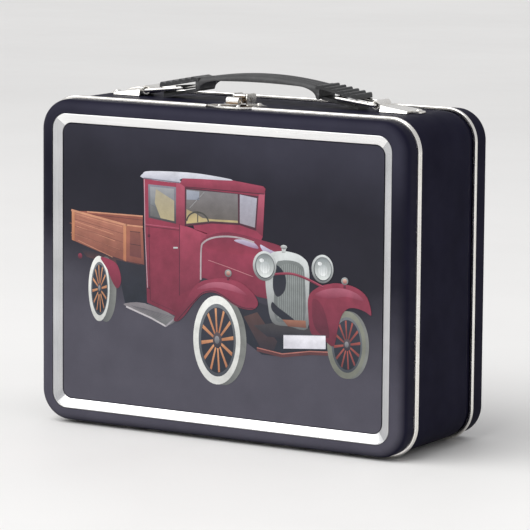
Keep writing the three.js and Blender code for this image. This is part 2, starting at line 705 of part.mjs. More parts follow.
const bracketHead = PLATE_Z + BRACKET_SHEET + GAP;
const catchHead = PLATE_Z + SHEET + GAP;
const baseHead = PLATE_Z + BASE_THICKNESS + GAP;
const loopLean = Math.atan2(CROSSBAR_Z - PIVOT_Z, PIVOT_X - CROSSBAR_X);
for (const side of SIDES) {
  const hand = side > 0 ? "right" : "left";

  place(lunchBox, `case_rim_${hand}`, rimSide(caseRim(), side, CASE_RIM_FOOT), nickel);
  place(lid, `lid_rim_${hand}`, rimSide(lidRim(), side, HINGE_X + HINGE_ROOM), nickel);

  const hinge = new THREE.Group();
  hinge.position.x = side * HINGE_X;
  lunchBox.add(hinge);
  place(hinge, `hinge_case_leaf_${hand}`, hingeLeaf(false), nickel);
  place(hinge, `hinge_lid_leaf_${hand}`, hingeLeaf(true), nickel);
  place(hinge, `hinge_pin_${hand}`, hingePin(), nickel);

  const end = new THREE.Group();
  end.position.y = HANDLE_Y;
  end.rotation.z = side > 0 ? 0 : Math.PI;
  lunchBox.add(end);
  place(end, `handle_bracket_${hand}`, handleBracket(), nickel);
  const bracketRivet = rivet([BRACKET_RIVET_X, 0], bracketHead, 1.8, BRACKET_SHANK);
  place(end, `bracket_rivet_${hand}`, bracketRivet, nickel);
  const loop = place(end, `handle_loop_${hand}`, handleLoop(), nickel);
  loop.geometry.translate(-PIVOT_X, 0, 0);
  loop.position.set(PIVOT_X, 0, PIVOT_Z);
  loop.rotation.y = loopLean;

  const catchRivet = rivet([side * CATCH_RIVET_X, CATCH_RIVET_Y], catchHead, 1.1, CATCH_SHANK);
  place(lid, `catch_rivet_${hand}`, catchRivet, nickel);
  const baseRivet = rivet([side * BASE_RIVET_X, BASE_Y], baseHead, 1.5, BASE_SHANK);
  place(lunchBox, `latch_rivet_${hand}`, baseRivet, nickel);
}

export default lunchBox;
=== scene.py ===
import math

import bmesh
import bpy
from mathutils import Matrix, Vector


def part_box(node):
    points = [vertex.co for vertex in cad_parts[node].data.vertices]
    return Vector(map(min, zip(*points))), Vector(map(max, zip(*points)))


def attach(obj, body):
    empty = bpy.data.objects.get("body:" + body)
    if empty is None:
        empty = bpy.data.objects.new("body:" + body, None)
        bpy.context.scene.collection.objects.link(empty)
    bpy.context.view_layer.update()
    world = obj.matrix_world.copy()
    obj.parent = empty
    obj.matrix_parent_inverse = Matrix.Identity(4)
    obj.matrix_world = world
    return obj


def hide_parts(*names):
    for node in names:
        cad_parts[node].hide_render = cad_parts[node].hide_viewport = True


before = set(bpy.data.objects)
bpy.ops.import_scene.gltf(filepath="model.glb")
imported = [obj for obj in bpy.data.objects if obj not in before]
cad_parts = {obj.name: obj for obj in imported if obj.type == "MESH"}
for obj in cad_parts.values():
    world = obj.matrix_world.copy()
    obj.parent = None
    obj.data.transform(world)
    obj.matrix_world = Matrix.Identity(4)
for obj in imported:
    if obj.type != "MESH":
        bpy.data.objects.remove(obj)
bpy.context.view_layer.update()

# Shapes are worked out in millimetres, and piece() turns them into metres.
MM = 0.001
SIDES = {"right": 1, "left": -1}


def limits(node):
    """A CAD node's lowest and highest corners, in millimetres."""
    low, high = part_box(node)
    return low / MM, high / MM


# ---- Places taken from the frame ----
BAND_LOW, BAND_HIGH = limits("body_band")
WALL_X = BAND_HIGH.x
FLOOR_Z, TOP_Z = BAND_LOW.z, BAND_HIGH.z
MIDDLE_Z = (FLOOR_Z + TOP_Z) / 2
WALL_Z = TOP_Z - MIDDLE_Z
CORNER = 16.0
SHEET = 0.6
GAP = 0.3

FRONT_Y = limits("lid_shell")[0].y
LID_OPEN_Y = limits("lid_shell")[1].y
BACK_Y = limits("back_cover")[1].y
COVER_OPEN_Y = limits("back_cover")[0].y
CASE_FRONT_Y = limits("case_rim_right")[0].y
LIP_Y = BAND_LOW.y
SEAM_Y = (LID_OPEN_Y + CASE_FRONT_Y) / 2
RIM_PROUD = limits("rear_seam_rim")[1].x - WALL_X

FRAME_LOW, FRAME_HIGH = limits("lid_bevel_frame")
FRAME_X = FRAME_HIGH.x
FRAME_Z = (FRAME_HIGH.z - FRAME_LOW.z) / 2
FRAME_CORNER = 8.2
FRAME_WIDTH = 5.0
FRAME_DEPTH = 2.0
PANEL_Y = limits("lid_panel")[0].y

HANDLE_Y = (limits("handle_grip")[0].y + limits("handle_grip")[1].y) / 2
HANDLE_HALF = (limits("handle_grip")[1].y - limits("handle_grip")[0].y) / 2
HANDLE_TOP = limits("handle_grip")[1].z
HANDLE_END = limits("handle_grip")[1].x

FITTING_Z = limits("latch_base")[0].z
LATCH_PIN = sum(limits("latch_pin"), Vector()) / 2
CATCH = sum(limits("catch_plate"), Vector()) / 2
CATCH_HALF = limits("catch_plate")[1] - CATCH


# ---- Mesh building ----
def turns(count, start=0.0, sweep=math.tau):
    """Angles spread evenly over a sweep, without its end."""
    return [start + sweep * i / count for i in range(count)]


def arc(centre, radius, start, end, steps):
    """Points of a flat arc, its angles in degrees, with both ends."""
    points = []
    for i in range(steps + 1):
        angle = math.radians(start + (end - start) * i / steps)
        points.append((centre[0] + radius * math.cos(angle), centre[1] + radius * math.sin(angle)))
    return points


def loft(rings, closed=False):
    """Joins rings of points into one skin: end rings are capped, or closed joins last to first."""
    count = len(rings[0])
    vertices = [Vector(point) for ring in rings for point in ring]
    faces = []
    for r in range(len(rings) if closed else len(rings) - 1):
        a = r * count
        b = (r + 1) % len(rings) * count
        for i in range(count):
            j = (i + 1) % count
            faces.append((a + i, a + j, b + j, b + i))
    if not closed:
        faces.append(tuple(range(count)))
        faces.append(tuple(range((len(rings) - 1) * count, len(rings) * count)))
    return vertices, faces


def together(*shapes):
    """Several shapes as one."""
    vertices, faces = [], []
    for points, polygons in shapes:
        faces += [tuple(i + len(vertices) for i in polygon) for polygon in polygons]
        vertices += points
    return vertices, faces


def moved(shape, x=0.0, y=0.0, z=0.0):
    """The shape, shifted."""
    return [point + Vector((x, y, z)) for point in shape[0]], shape[1]


def mirrored(shape, side):
    """The shape, or for side -1 its mirror image across the box's middle."""
    return [Vector((side * point.x, point.y, point.z)) for point in shape[0]], shape[1]


def prism(axis, points, low, high):
    """A flat outline pushed along an axis: (y, z) along x, (x, z) along y, (x, y) along z."""
    place = {
        "x": lambda u, v, w: (w, u, v),
        "y": lambda u, v, w: (u, w, v),
        "z": lambda u, v, w: (u, v, w),
    }[axis]
    return loft([[place(u, v, w) for u, v in points] for w in (low, high)])


def block(x, y, z):
    """A box between the two ends given for each axis."""
    return prism("z", [(x[0], y[0]), (x[1], y[0]), (x[1], y[1]), (x[0], y[1])], *z)


def lathe(profile, centre, axis="z", steps=32):
    """A profile of (radius, height) turned round an axis."""
    rings = []
    for radius, height in profile:
        ring = []
        for angle in turns(steps):
            u, v = radius * math.cos(angle), radius * math.sin(angle)
            ring.append({"x": (height, u, v), "y": (v, height, u), "z": (u, v, height)}[axis])
        rings.append(ring)
    return moved(loft(rings), *centre)


def tube(path, radius, sides=16):
    """A round wire along a path."""
    path = [Vector(point) for point in path]
    rings = []
    normal = None
    for i, point in enumerate(path):
        ahead = (path[min(i + 1, len(path) - 1)] - path[max(i - 1, 0)]).normalized()
        normal = ahead.orthogonal() if normal is None else normal
        normal = (normal - ahead * normal.dot(ahead)).normalized()
        side = ahead.cross(normal)
        rings.append(
            [point + radius * (math.cos(t) * normal + math.sin(t) * side) for t in turns(sides)]
        )
    return loft(rings)


def bent(corners, radius, steps=8):
    """A path through corners, each corner but the ends rounded off."""
    corners = [Vector(corner) for corner in corners]
    path = [corners[0]]
    for before, corner, after in zip(corners, corners[1:], corners[2:]):
        start = corner + (before - corner).normalized() * radius
        end = corner + (after - corner).normalized() * radius
        for i in range(steps + 1):
            t = i / steps
            path.append(start.lerp(corner, t).lerp(corner.lerp(end, t), t))
    path.append(corners[-1])
    return path


def outline(half_width, half_height, radius, y, steps=14):
    """An upright rounded rectangle around the box's middle, at depth y."""
    points = []
    for corner in range(4):
        cx = (half_width - radius) * (-1 if corner in (1, 2) else 1)
        cz = (half_height - radius) * (-1 if corner > 1 else 1)
        for x, z in arc((cx, cz), radius, 90 * corner, 90 * corner + 90, steps):
            points.append((x, y, MIDDLE_Z + z))
    return points


def wall_outline(offset, y):
    """The case's outline, moved out of the wall by offset."""
    return outline(WALL_X + offset, WALL_Z + offset, CORNER + offset, y)


def leaf(half_length, half_width, y, steps=32):
    """A leaf-shaped outline with blunt ends, around (0, y)."""
    points = []
    for side in (1, -1):
        for i in range(steps):
            share = side * math.cos(math.pi * i / steps)
            points.append((half_length * share, y + side * half_width * (1 - share * share) ** 0.8))
    return points


def new_mesh(name, shape, scale=MM, merge=0.0, shortest=0.0):
    """A mesh of a shape, with its faces turned outwards.

    merge joins points that are nearer than that, and shortest drops faces that thin."""
    mesh = bpy.data.meshes.new(name)
    mesh.from_pydata([point * scale for point in shape[0]], [], shape[1])
    form = bmesh.new()
    form.from_mesh(mesh)
    if merge:
        bmesh.ops.remove_doubles(form, verts=form.verts, dist=merge)
    if shortest:
        bmesh.ops.dissolve_degenerate(form, edges=form.edges, dist=shortest)
    bmesh.ops.recalc_face_normals(form, faces=form.faces)
    form.to_mesh(mesh)
    form.free()
    return mesh


def placed(name, data):
    """A new object in the scene."""
    made = bpy.data.objects.new(name, data)
    bpy.context.scene.collection.objects.link(made)
    return made


def scratch(shape):
    """A helper object in millimetres, for booleans."""
    return placed("scratch", new_mesh("scratch", shape, scale=1.0, merge=1e-4))


def boolean(shape, tools, operation="DIFFERENCE"):
    """The shape with the tools cut out of it, or joined to it by operation UNION."""
    base = scratch(shape)
    helpers = [scratch(tool) for tool in tools]
    for helper in helpers:
        modifier = base.modifiers.new("cut", "BOOLEAN")
        modifier.operation = operation
        modifier.solver = "EXACT"
        modifier.object = helper
    result = base.evaluated_get(bpy.context.evaluated_depsgraph_get()).to_mesh()
    made = [v.co.copy() for v in result.vertices], [tuple(p.vertices) for p in result.polygons]
    for thing in [base, *helpers]:
        bpy.data.objects.remove(thing)
    return made


def piece(name, shape, body, finishes, stands_for=(), sharp=32, edge=0.0, pick=None):
    """Makes a shape into a piece that rides on a body and stands for CAD nodes.

    edge is the width of its eased edges, and pick(middle, normal) gives the number of a face's
    finish."""
    mesh = new_mesh(name, shape, merge=1e-7, shortest=1e-8)
    for finish in finishes:
        mesh.materials.append(finish)
    mesh.shade_smooth()
    mesh.set_sharp_from_angle(angle=math.radians(sharp))
    if pick:
        for polygon in mesh.polygons:
            polygon.material_index = pick(polygon.center / MM, polygon.normal)
    made = placed(name, mesh)
    if edge:
        modifier = made.modifiers.new("eased_edges", "BEVEL")
        modifier.width = edge * MM
        modifier.segments = 3
        modifier.limit_method = "ANGLE"
        modifier.angle_limit = math.radians(sharp)
        modifier.harden_normals = True
    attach(made, body)
    if stands_for:
        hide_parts(*stands_for)
    return made


# ---- Materials ----
def linear(red, green, blue):
    """An sRGB colour, 0 to 255, as a linear colour."""
    def value(channel):
        share = channel / 255
        return share / 12.92 if share <= 0.04045 else ((share + 0.055) / 1.055) ** 2.4

    return (value(red), value(green), value(blue), 1.0)


def feed(tree, socket, value):
    """Sets a socket to a number or a colour, or links another node's output to it."""
    if isinstance(value, bpy.types.NodeSocket):
        tree.links.new(value, socket)
    else:
        socket.default_value = value


def add(tree, kind, settings=None, **inputs):
    """Adds a shader node. An input's value may be a number, a colour or another node's output."""
    made = tree.nodes.new("ShaderNode" + kind)
    for key, value in (settings or {}).items():
        setattr(made, key, value)
    for key, value in inputs.items():
        feed(tree, made.inputs[key.replace("_", " ")], value)
    return made


def maths(tree, operation, *values):
    """The result of an arithmetic node."""
    made = add(tree, "Math", {"operation": operation})
    for socket, value in zip(made.inputs, values):
        feed(tree, socket, value)
    return made.outputs[0]


def axes(tree, kind="Object"):
    """The x, y and z outputs of the object's own coordinates, or of another kind of them."""
    return add(tree, "SeparateXYZ", Vector=add(tree, "TexCoord").outputs[kind]).outputs


def noise(tree, scale, stretch=(1, 1, 1), detail=4.0, roughness=0.55):
    """A noise over the object's own coordinates, its scale in features per metre."""
    coordinates = add(tree, "TexCoord").outputs["Object"]
    mapping = add(tree, "Mapping", Vector=coordinates, Scale=stretch)
    made = add(
        tree, "TexNoise", Vector=mapping.outputs[0], Scale=scale, Detail=detail, Roughness=roughness
    )
    return made.outputs[0]


def ranged(tree, value, low, high, start=0.3, end=0.7):
    """A value between start and end, spread from low to high."""
    made = add(tree, "MapRange", Value=value, From_Min=start, From_Max=end, To_Min=low, To_Max=high)
    return made.outputs[0]


def mixed(tree, factor, first, second, blend="MIX"):
    """Two colours mixed by a factor."""
    made = add(tree, "Mix", {"data_type": "RGBA", "blend_type": blend})
    for index, value in ((0, factor), (6, first), (7, second)):
        feed(tree, made.inputs[index], value)
    return made.outputs[2]


def shaded(tree, stops, colour, sides):
    """Painted shade and reflection: colour that changes with height and a little with x.

    stops lists (height in metres, tint), and sides, if given, are the tones of the faces that
    don't look towards -Y, which stay unshaded, while the faces that look towards -Y keep the
    lighter tones and the ramp as painted light and shade."""
    drift = 0.128  # how much height a metre of x counts for
    waver = 0.008  # how far the bands of painted shade wander up and down
    place = axes(tree)
    level = maths(tree, "MULTIPLY_ADD", place[0], drift, place[2])
    level = maths(tree, "ADD", level, ranged(tree, noise(tree, 22), -waver, waver))
    top = stops[-1][0]
    ramp = add(tree, "ValToRGB", Fac=ranged(tree, level, 0.0, 1.0, 0.0, top))
    points = ramp.color_ramp.elements
    while len(points) < len(stops):
        points.new(0.5)
    for point, (height, tint) in zip(points, stops):
        point.position = height / top
        point.color = linear(*tint)
    tinted = mixed(tree, 1.0, ramp.outputs[0], colour, "MULTIPLY")
    if not sides:
        return tinted
    # faces that look to the front get the painted light and shade; the others keep the sides' tones
    frontward = ranged(tree, axes(tree, "Normal")[1], 1.0, 0.0, -0.96, -0.45)
    plain = mixed(tree, ranged(tree, noise(tree, 45), 0.0, 1.0), *(linear(*tone) for tone in sides))
    return mixed(tree, frontward, plain, tinted)


def surface(
    name,
    tones,
    roughness,
    metallic=0.0,
    specular=0.5,
    patch=60.0,
    grain=2500.0,
    bump=0.02,
    stretch=(1, 1, 1),
    worn=None,
    ink=False,
    stops=None,
    sides=None,
):
    """A procedural finish: two tones in soft patches, uneven roughness and a fine grain.

    stretch draws the grain out into brushed lines, worn is the colour that shows on rubbed
    edges, ink takes the tones as tints of the colour stored in the mesh, and stops paints shade and
    reflection on it by height, with sides as the tones of the faces that don't look to the front."""
    material = bpy.data.materials.new(name)
    material.use_nodes = True
    tree = material.node_tree
    shader = tree.nodes["Principled BSDF"]
    fine = noise(tree, grain, stretch, detail=2.0)
    patches = ranged(tree, noise(tree, patch), 0.0, 1.0)
    colour = mixed(tree, patches, *(linear(*tone) for tone in tones))
    colour = mixed(tree, ranged(tree, fine, 0.0, 0.08), colour, linear(0, 0, 0))
    if stops:
        colour = shaded(tree, stops, colour, sides)
    if ink:
        stored = add(tree, "Attribute", {"attribute_name": "ink"}).outputs["Color"]
        colour = mixed(tree, 1.0, stored, colour, "MULTIPLY")
    if worn:
        pointed = add(tree, "NewGeometry").outputs["Pointiness"]
        edges = ranged(tree, pointed, 0.0, 1.0, 0.545, 0.62)
        rubbed = ranged(tree, noise(tree, 700), 0.0, 0.55, 0.5, 0.68)
        colour = mixed(tree, maths(tree, "MULTIPLY", edges, rubbed), colour, linear(*worn))
    relief = add(tree, "Bump", Height=fine, Strength=bump, Distance=0.0003)
    spread = ranged(tree, noise(tree, patch * 3, stretch), *roughness)
    feed(tree, shader.inputs["Base Color"], colour)
    feed(tree, shader.inputs["Roughness"], spread)
    feed(tree, shader.inputs["Metallic"], metallic)
    feed(tree, shader.inputs["Specular IOR Level"], specular)
    feed(tree, shader.inputs["Normal"], relief.outputs["Normal"])
    return material


NAVY_TONES = ((25, 24, 39), (32, 31, 47))
NAVY = surface(
    "navy_paint", NAVY_TONES, (0.42, 0.52),
    specular=0.012, patch=45, grain=1800, bump=0.03, worn=(78, 78, 90),
)
# Painted reflection and shade: the print and the lid's front are pale at the foot and dark over
# their middle.
PAINTED_LIGHT_STOPS = (
    (0.052, (255, 253, 255)),
    (0.098, (128, 128, 140)),
    (0.130, (118, 118, 134)),
    (0.165, (180, 180, 196)),
)
# The print's ground; on the lid they are the front's tones, painted lighter than the navy for the
# light on the front.
PRINT_AND_LIT_FRONT_TONES = ((75, 74, 84), (82, 81, 91))
PRINT_GROUND = surface(
    "printed_ground", PRINT_AND_LIT_FRONT_TONES, (0.46, 0.56),
    specular=0.2, patch=55, grain=2200, bump=0.06, stops=PAINTED_LIGHT_STOPS,
)
# Its faces that look to the front take the lighter tones and the height gradient, painted light and
# shade; its other faces keep the navy tones.
LID_PAINT = surface(
    "lid_paint", PRINT_AND_LIT_FRONT_TONES, (0.42, 0.52),
    specular=0.03, patch=55, grain=2000, bump=0.03, worn=(92, 92, 104),
    stops=PAINTED_LIGHT_STOPS, sides=NAVY_TONES,
)
INK = surface(
    "printed_ink", ((226, 226, 226), (255, 255, 255)), (0.44, 0.54),
    specular=0.35, patch=160, grain=2600, bump=0.05, ink=True,
)
# The upper and lower bars' metal is painted lighter and the left and right bars' darker: painted
# light and shade, besides the brushing along each bar.
LIT_BRUSHED_ACROSS = surface(
    "lit_brushed_across", ((246, 246, 246), (254, 254, 253)), (0.24, 0.36),
    metallic=1.0, patch=40, grain=1400, bump=0.12, stretch=(0.03, 1, 1),
)
SHADED_BRUSHED_UPRIGHT = surface(
    "shaded_brushed_upright", ((196, 197, 199), (214, 214, 216)), (0.24, 0.36),
    metallic=1.0, patch=40, grain=1400, bump=0.12, stretch=(1, 1, 0.03),
)
NICKEL = surface(
    "nickel", ((236, 233, 226), (250, 248, 244)), (0.16, 0.3),
    metallic=1.0, patch=90, grain=1500, bump=0.06, stretch=(0.35, 1, 1),
)
# Nickel darkened and browned: painted shade, for the parts under the latch's hood and in the
# catch's dish.
SHADED_NICKEL = surface(
    "shaded_nickel", ((92, 76, 60), (130, 114, 96)), (0.3, 0.5),
    metallic=1.0, patch=300, grain=1500, bump=0.06,
)
TINPLATE = surface(
    "tinplate", ((188, 189, 190), (214, 214, 212)), (0.3, 0.48),
    metallic=1.0, patch=130, grain=1600, bump=0.08,
)
PLASTIC = surface(
    "charcoal_plastic", ((53, 53, 54), (66, 66, 67)), (0.4, 0.55),
    specular=0.4, patch=120, grain=3000, bump=0.3, worn=(128, 128, 130),
)
# A lighter copy of the charcoal plastic for the grip's underside: painted bounce light from the
# floor below.
BOUNCE_LIT_PLASTIC = surface(
    "bounce_lit_grey_plastic", ((124, 124, 124), (142, 142, 142)), (0.35, 0.5),
    patch=120, grain=3000, bump=0.2,
)


# ---- Case ----
HINGE_X = (limits("hinge_pin_right")[0].x + limits("hinge_pin_right")[1].x) / 2
HINGE_HALF = limits("hinge_pin_right")[1].x - HINGE_X


def hinge_rooms(depth):
    """The notches that the walls leave for the hinges' knuckles."""
    reach = 1.6
    half = HINGE_HALF + GAP
    return [
        block((side * HINGE_X - half, side * HINGE_X + half), depth, (-1.0, FLOOR_Z + reach))
        for side in SIDES.values()
    ]


def inside_is_tin(middle, normal):
    """0, the outer finish, for faces that look out of the box and 1 for those that look in."""
    flatten = 0.2  # the walls count for less than the faces
    skin = SHEET * 0.7
    inward = Vector((-middle.x * flatten, -middle.y, (MIDDLE_Z - middle.z) * flatten))
    clear_x = WALL_X - abs(middle.x) > skin
    clear_z = WALL_Z - abs(middle.z - MIDDLE_Z) > skin
    return int(clear_x and clear_z and normal.dot(inward) > 0)


def case_band():
    """The four walls: an inner lip at the front and a soft shoulder before the rear seam."""
    lip_out = -(SHEET + GAP)
    joggle_y = CASE_FRONT_Y + 2
    back_y = BAND_HIGH.y
    tuck = -0.95
    near = 0.6  # keeps an edge's shading close to it
    shoulder = [(0, 22.6), (-0.06, 23.6), (-0.25, 24.5), (-0.55, 25.2), (-0.85, 25.6)]
    outer = [(0, CASE_FRONT_Y), (0, CASE_FRONT_Y + near), (0, 21.6), *shoulder, (tuck, 26.4)]
    outer += [(tuck, back_y - near), (tuck, back_y)]
    inner = [(lip_out - 1, back_y), (lip_out - 1, 20.5), (-SHEET, 19), (-SHEET, joggle_y + 2)]
    lip = [
        (lip_out - SHEET, joggle_y),
        (lip_out - SHEET, LIP_Y + 0.2),
        (lip_out - 0.3, LIP_Y),
        (lip_out, LIP_Y + 0.2),
        (lip_out, joggle_y - 1.4),
        (-SHEET, joggle_y - 1.6),
        (-SHEET, CASE_FRONT_Y),
    ]
    rings = [wall_outline(offset, y) for offset, y in [*outer, *inner, *lip]]
    notches = hinge_rooms((-40, SEAM_Y + 1.7))
    catch_room = block((-8, 8), (-40, CASE_FRONT_Y), (TOP_Z - 5, TOP_Z))
    shape = boolean(loft(rings, closed=True), [*notches, catch_room])
    piece("case_band", shape, "case", [NAVY, TINPLATE], ["body_band"],
          pick=inside_is_tin)


def pan(open_y, face_y, edge_round, seat):
    """A pressed pan: walls, a rounded edge and a face with a seat pressed into it.

    seat lists the (half width, half height, corner radius, depth) of its steps, from outside in."""
    out = math.copysign(1, face_y - open_y)

    def skin(inset):
        rings = [wall_outline(-inset, open_y), wall_outline(-inset, open_y + out)]
        bend = edge_round - inset
        for i in range(11):
            angle = math.radians(9 * i)
            offset = -inset - bend * (1 - math.cos(angle))
            y = face_y - out * (inset + bend * (1 - math.sin(angle)))
            rings.append(wall_outline(offset, y))
        for half_width, half_height, radius, depth in seat:
            y = face_y - out * (depth + inset)
            rings.append(outline(half_width + inset, half_height + inset, radius + inset, y))
        return rings

    return loft(skin(0.0)[::-1] + skin(SHEET))


def back_cover():
    """The back, with a shallow stamped step whose slope eases in and out."""
    width, height, slope, depth, steps = 97.0, 72.5, 3.0, 1.2, 8
    seat = []
    for i in range(steps + 1):
        t = i / steps
        fall = depth * t * t * (3 - 2 * t)
        radius = FRAME_CORNER - slope * t / 2
        seat.append((width - slope * t, height - slope * t, radius, fall))
    shape = pan(COVER_OPEN_Y, BACK_Y, 2.0, seat)
    piece("back_pan", shape, "case", [NAVY, TINPLATE], ["back_cover"],
          pick=inside_is_tin)


# ---- Rims ----
def rim_section(y0, y1):
    """A rolled rim's section, as (offset out of the wall, y): a rounded crown over two flanks."""
    foot = -0.2  # inside the wall
    bend = 0.7
    quarter = [math.radians(step) for step in range(0, 91, 18)]
    flat = RIM_PROUD - bend
    front = [(flat + bend * math.sin(a), y0 + bend * (1 - math.cos(a))) for a in quarter]
    back = [(flat + bend * math.cos(a), y1 - bend * (1 - math.sin(a))) for a in quarter]
    return [(foot, y0), *front, (RIM_PROUD, (y0 + y1) / 2), *back, (foot, y1)]


def rim_run(section, side, top_x, bottom_x):
    """A rim from top_x on the top, round one side of the box, to bottom_x on the underside."""
    rings = []
    for offset, y in section:
        half_width, half_height = WALL_X + offset, WALL_Z + offset
        radius = CORNER + offset
        path = [(top_x, half_height)]
        path += arc((half_width - radius, half_height - radius), radius, 90, 0, 24)
        path += arc((half_width - radius, radius - half_height), radius, 0, -90, 24)
        if bottom_x < half_width - radius:
            path.append((bottom_x, -half_height))
        else:
            path = [point for point in path if point[1] > 0 or point[0] > bottom_x]
        rings.append([(side * x, y, MIDDLE_Z + z) for x, z in path])
    return loft([list(ring) for ring in zip(*rings)])


def rims():
    """Rolled rims: one round each side of the case and of the lid, one along the lid's foot
    between the hinges, and one all round the rear seam."""
    case_start = CATCH_HALF.x + 0.2
    lid_start = CATCH_HALF.x - 1.7
    case_foot = 98.0
    lid_foot = HINGE_X + HINGE_HALF + GAP
    rim_width = limits("case_rim_right")[1].y - CASE_FRONT_Y
    case_section = rim_section(CASE_FRONT_Y, CASE_FRONT_Y + rim_width)
    lid_section = rim_section(LID_OPEN_Y - rim_width, LID_OPEN_Y)
    low, high = limits("rear_seam_rim")
    rear = loft([wall_outline(offset, y) for offset, y in rim_section(low.y, high.y)], closed=True)
    half = limits("lid_rim_bottom")[1].x
    foot = prism("x", [(y, FLOOR_Z - offset) for offset, y in lid_section], -half, half)
    made = []
    for hand, side in SIDES.items():
        case_rim = rim_run(case_section, side, case_start, case_foot)
        lid_rim = rim_run(lid_section, side, lid_start, lid_foot)
        made.append((f"rim_case_{hand}", case_rim, "case", f"case_rim_{hand}"))
        made.append((f"rim_lid_{hand}", lid_rim, "lid", f"lid_rim_{hand}"))
    made.append(("rim_lid_foot", foot, "lid", "lid_rim_bottom"))
    made.append(("rim_rear", rear, "case", "rear_seam_rim"))
    for name, shape, body, node in made:
        piece(name, shape, body, [NICKEL], [node], sharp=50)


# ---- Lid ----
def is_upright(middle, normal):
    """1 for the frame's left and right bars, painted darker, 0 for its upper and lower ones,
    painted lighter.
    """
    return int(abs(normal.x) > abs(normal.z))


def lid():
    """The lid's pan, with a seat pressed into it for the bevelled frame and the printed panel."""
    wide, high = FRAME_X + GAP, FRAME_Z + GAP
    seat = [
        (wide, high, FRAME_CORNER + GAP, 0.0),
        (wide, high, FRAME_CORNER + GAP, 0.75),
        (wide - FRAME_WIDTH, high - FRAME_WIDTH, FRAME_CORNER / 2, FRAME_DEPTH + 0.8),
    ]
    shape = boolean(pan(LID_OPEN_Y, FRONT_Y, 5.2, seat), hinge_rooms((SEAM_Y - 1.7, -20)))
    finishes = [LID_PAINT, TINPLATE]
    piece("lid_pan", shape, "lid", finishes, ["lid_shell"], pick=inside_is_tin)

    # The frame's section, as (inset from its outer edge, depth behind the lid's face).
    profile = [(0.0, 0.5), (0.0, 0.15), (0.06, 0.05), (0.2, 0.0), (0.42, 0.03), (0.7, 0.14)]
    profile += [(4.35, 1.66), (4.6, 1.8), (4.75, 1.95), (4.75, 2.25), (4.3, 2.25), (0.6, 0.75)]
    tighten = 0.55  # how fast its corners tighten inwards
    rings = [
        outline(FRAME_X - inset, FRAME_Z - inset, FRAME_CORNER - tighten * inset, FRONT_Y + depth)
        for inset, depth in profile
    ]
    # painted light on the upper and lower bars, painted shade on the left and right ones
    finishes = [LIT_BRUSHED_ACROSS, SHADED_BRUSHED_UPRIGHT]
    shape = loft(rings, closed=True)
    piece("bevel_frame", shape, "lid", finishes, ["lid_bevel_frame"],
          sharp=24, pick=is_upright)

    half_x, half_z = limits("lid_panel")[1].x, limits("lid_panel")[1].z - MIDDLE_Z
    radius = FRAME_CORNER / 2 + 0.7
    sheet = loft([outline(half_x, half_z, radius, y) for y in (PANEL_Y, PANEL_Y + 0.4)])
    piece("picture_panel", sheet, "lid", [PRINT_GROUND], ["lid_panel"])


# ---- Handle ----
PLATE_START = 36.5
PLATE_SLOPE = 0.195
PLATE_UNDER = 181.0
PLATE_THICK = 1.6
FLANGE_END = 58.6
FLANGE_SLOPE = 0.19
FLANGE_UNDER = 171.35
FOOT_END = 35.3


def plate_under(x):
    """The underside of the grip's ribbed plate."""
    return PLATE_UNDER - PLATE_SLOPE * (x - PLATE_START)


def plate_top(x):
    return plate_under(x) + PLATE_THICK


def flange_under(x):
    """The underside of the flange that lies below the plate."""
    return FLANGE_UNDER + FLANGE_SLOPE * (FLANGE_END - x)


def arch():
    """The grip's arch: three soft ridges along it, crossed by fine lines."""
    foot_start, end = 22.0, 37.2
    pitch, line_depth = 0.6, 0.12
    ridge_depth, shoulder_depth, hollow_depth = 0.4, 1.3, 0.5
    underside = HANDLE_TOP - 4.1
    foot_drop = underside - 0.5 - flange_under(FOOT_END)

    def top(x):
        return HANDLE_TOP - (HANDLE_TOP - plate_top(PLATE_START)) * (x / PLATE_START) ** 2

    def under(x):
        if x <= foot_start:
            return underside - 0.5 * (x / foot_start) ** 2
        reach = min((x - foot_start) / (FOOT_END - foot_start), 1.0)
        return underside - 0.5 - foot_drop * (1 - math.sqrt(max(1 - reach * reach, 0)))

    stations = [pitch * i for i in range(37)]
    for angle in range(3, 91, 3):
        stations.append(foot_start + (FOOT_END - foot_start) * math.sin(math.radians(angle)))
    stations.append(end)
    stations = [-x for x in stations[:0:-1]] + stations
    rings = []
    for index, x in enumerate(stations):
        line = line_depth if index % 2 else 0.0
        high, low = top(abs(x)) - line, under(abs(x))
        ring = []
        for y in [HANDLE_HALF * (i / 12 - 1) for i in range(25)]:
            across = y / HANDLE_HALF
            ridge = ridge_depth * math.cos(across * math.tau * 1.5) - ridge_depth
            shoulder = -shoulder_depth * (1 - math.sqrt(max(1 - abs(across) ** 8, 0)))
            ring.append((x, y, high + ridge + shoulder))
        for y in [HANDLE_HALF * (1 - i / 6) for i in range(13)]:
            hollow = hollow_depth * (1 - (y / HANDLE_HALF) ** 2)
            eased = hollow_depth * abs(y / HANDLE_HALF) ** 10
            ring.append((x, y, low + hollow + eased))
        rings.append(ring)
    return moved(loft(rings), y=HANDLE_Y)


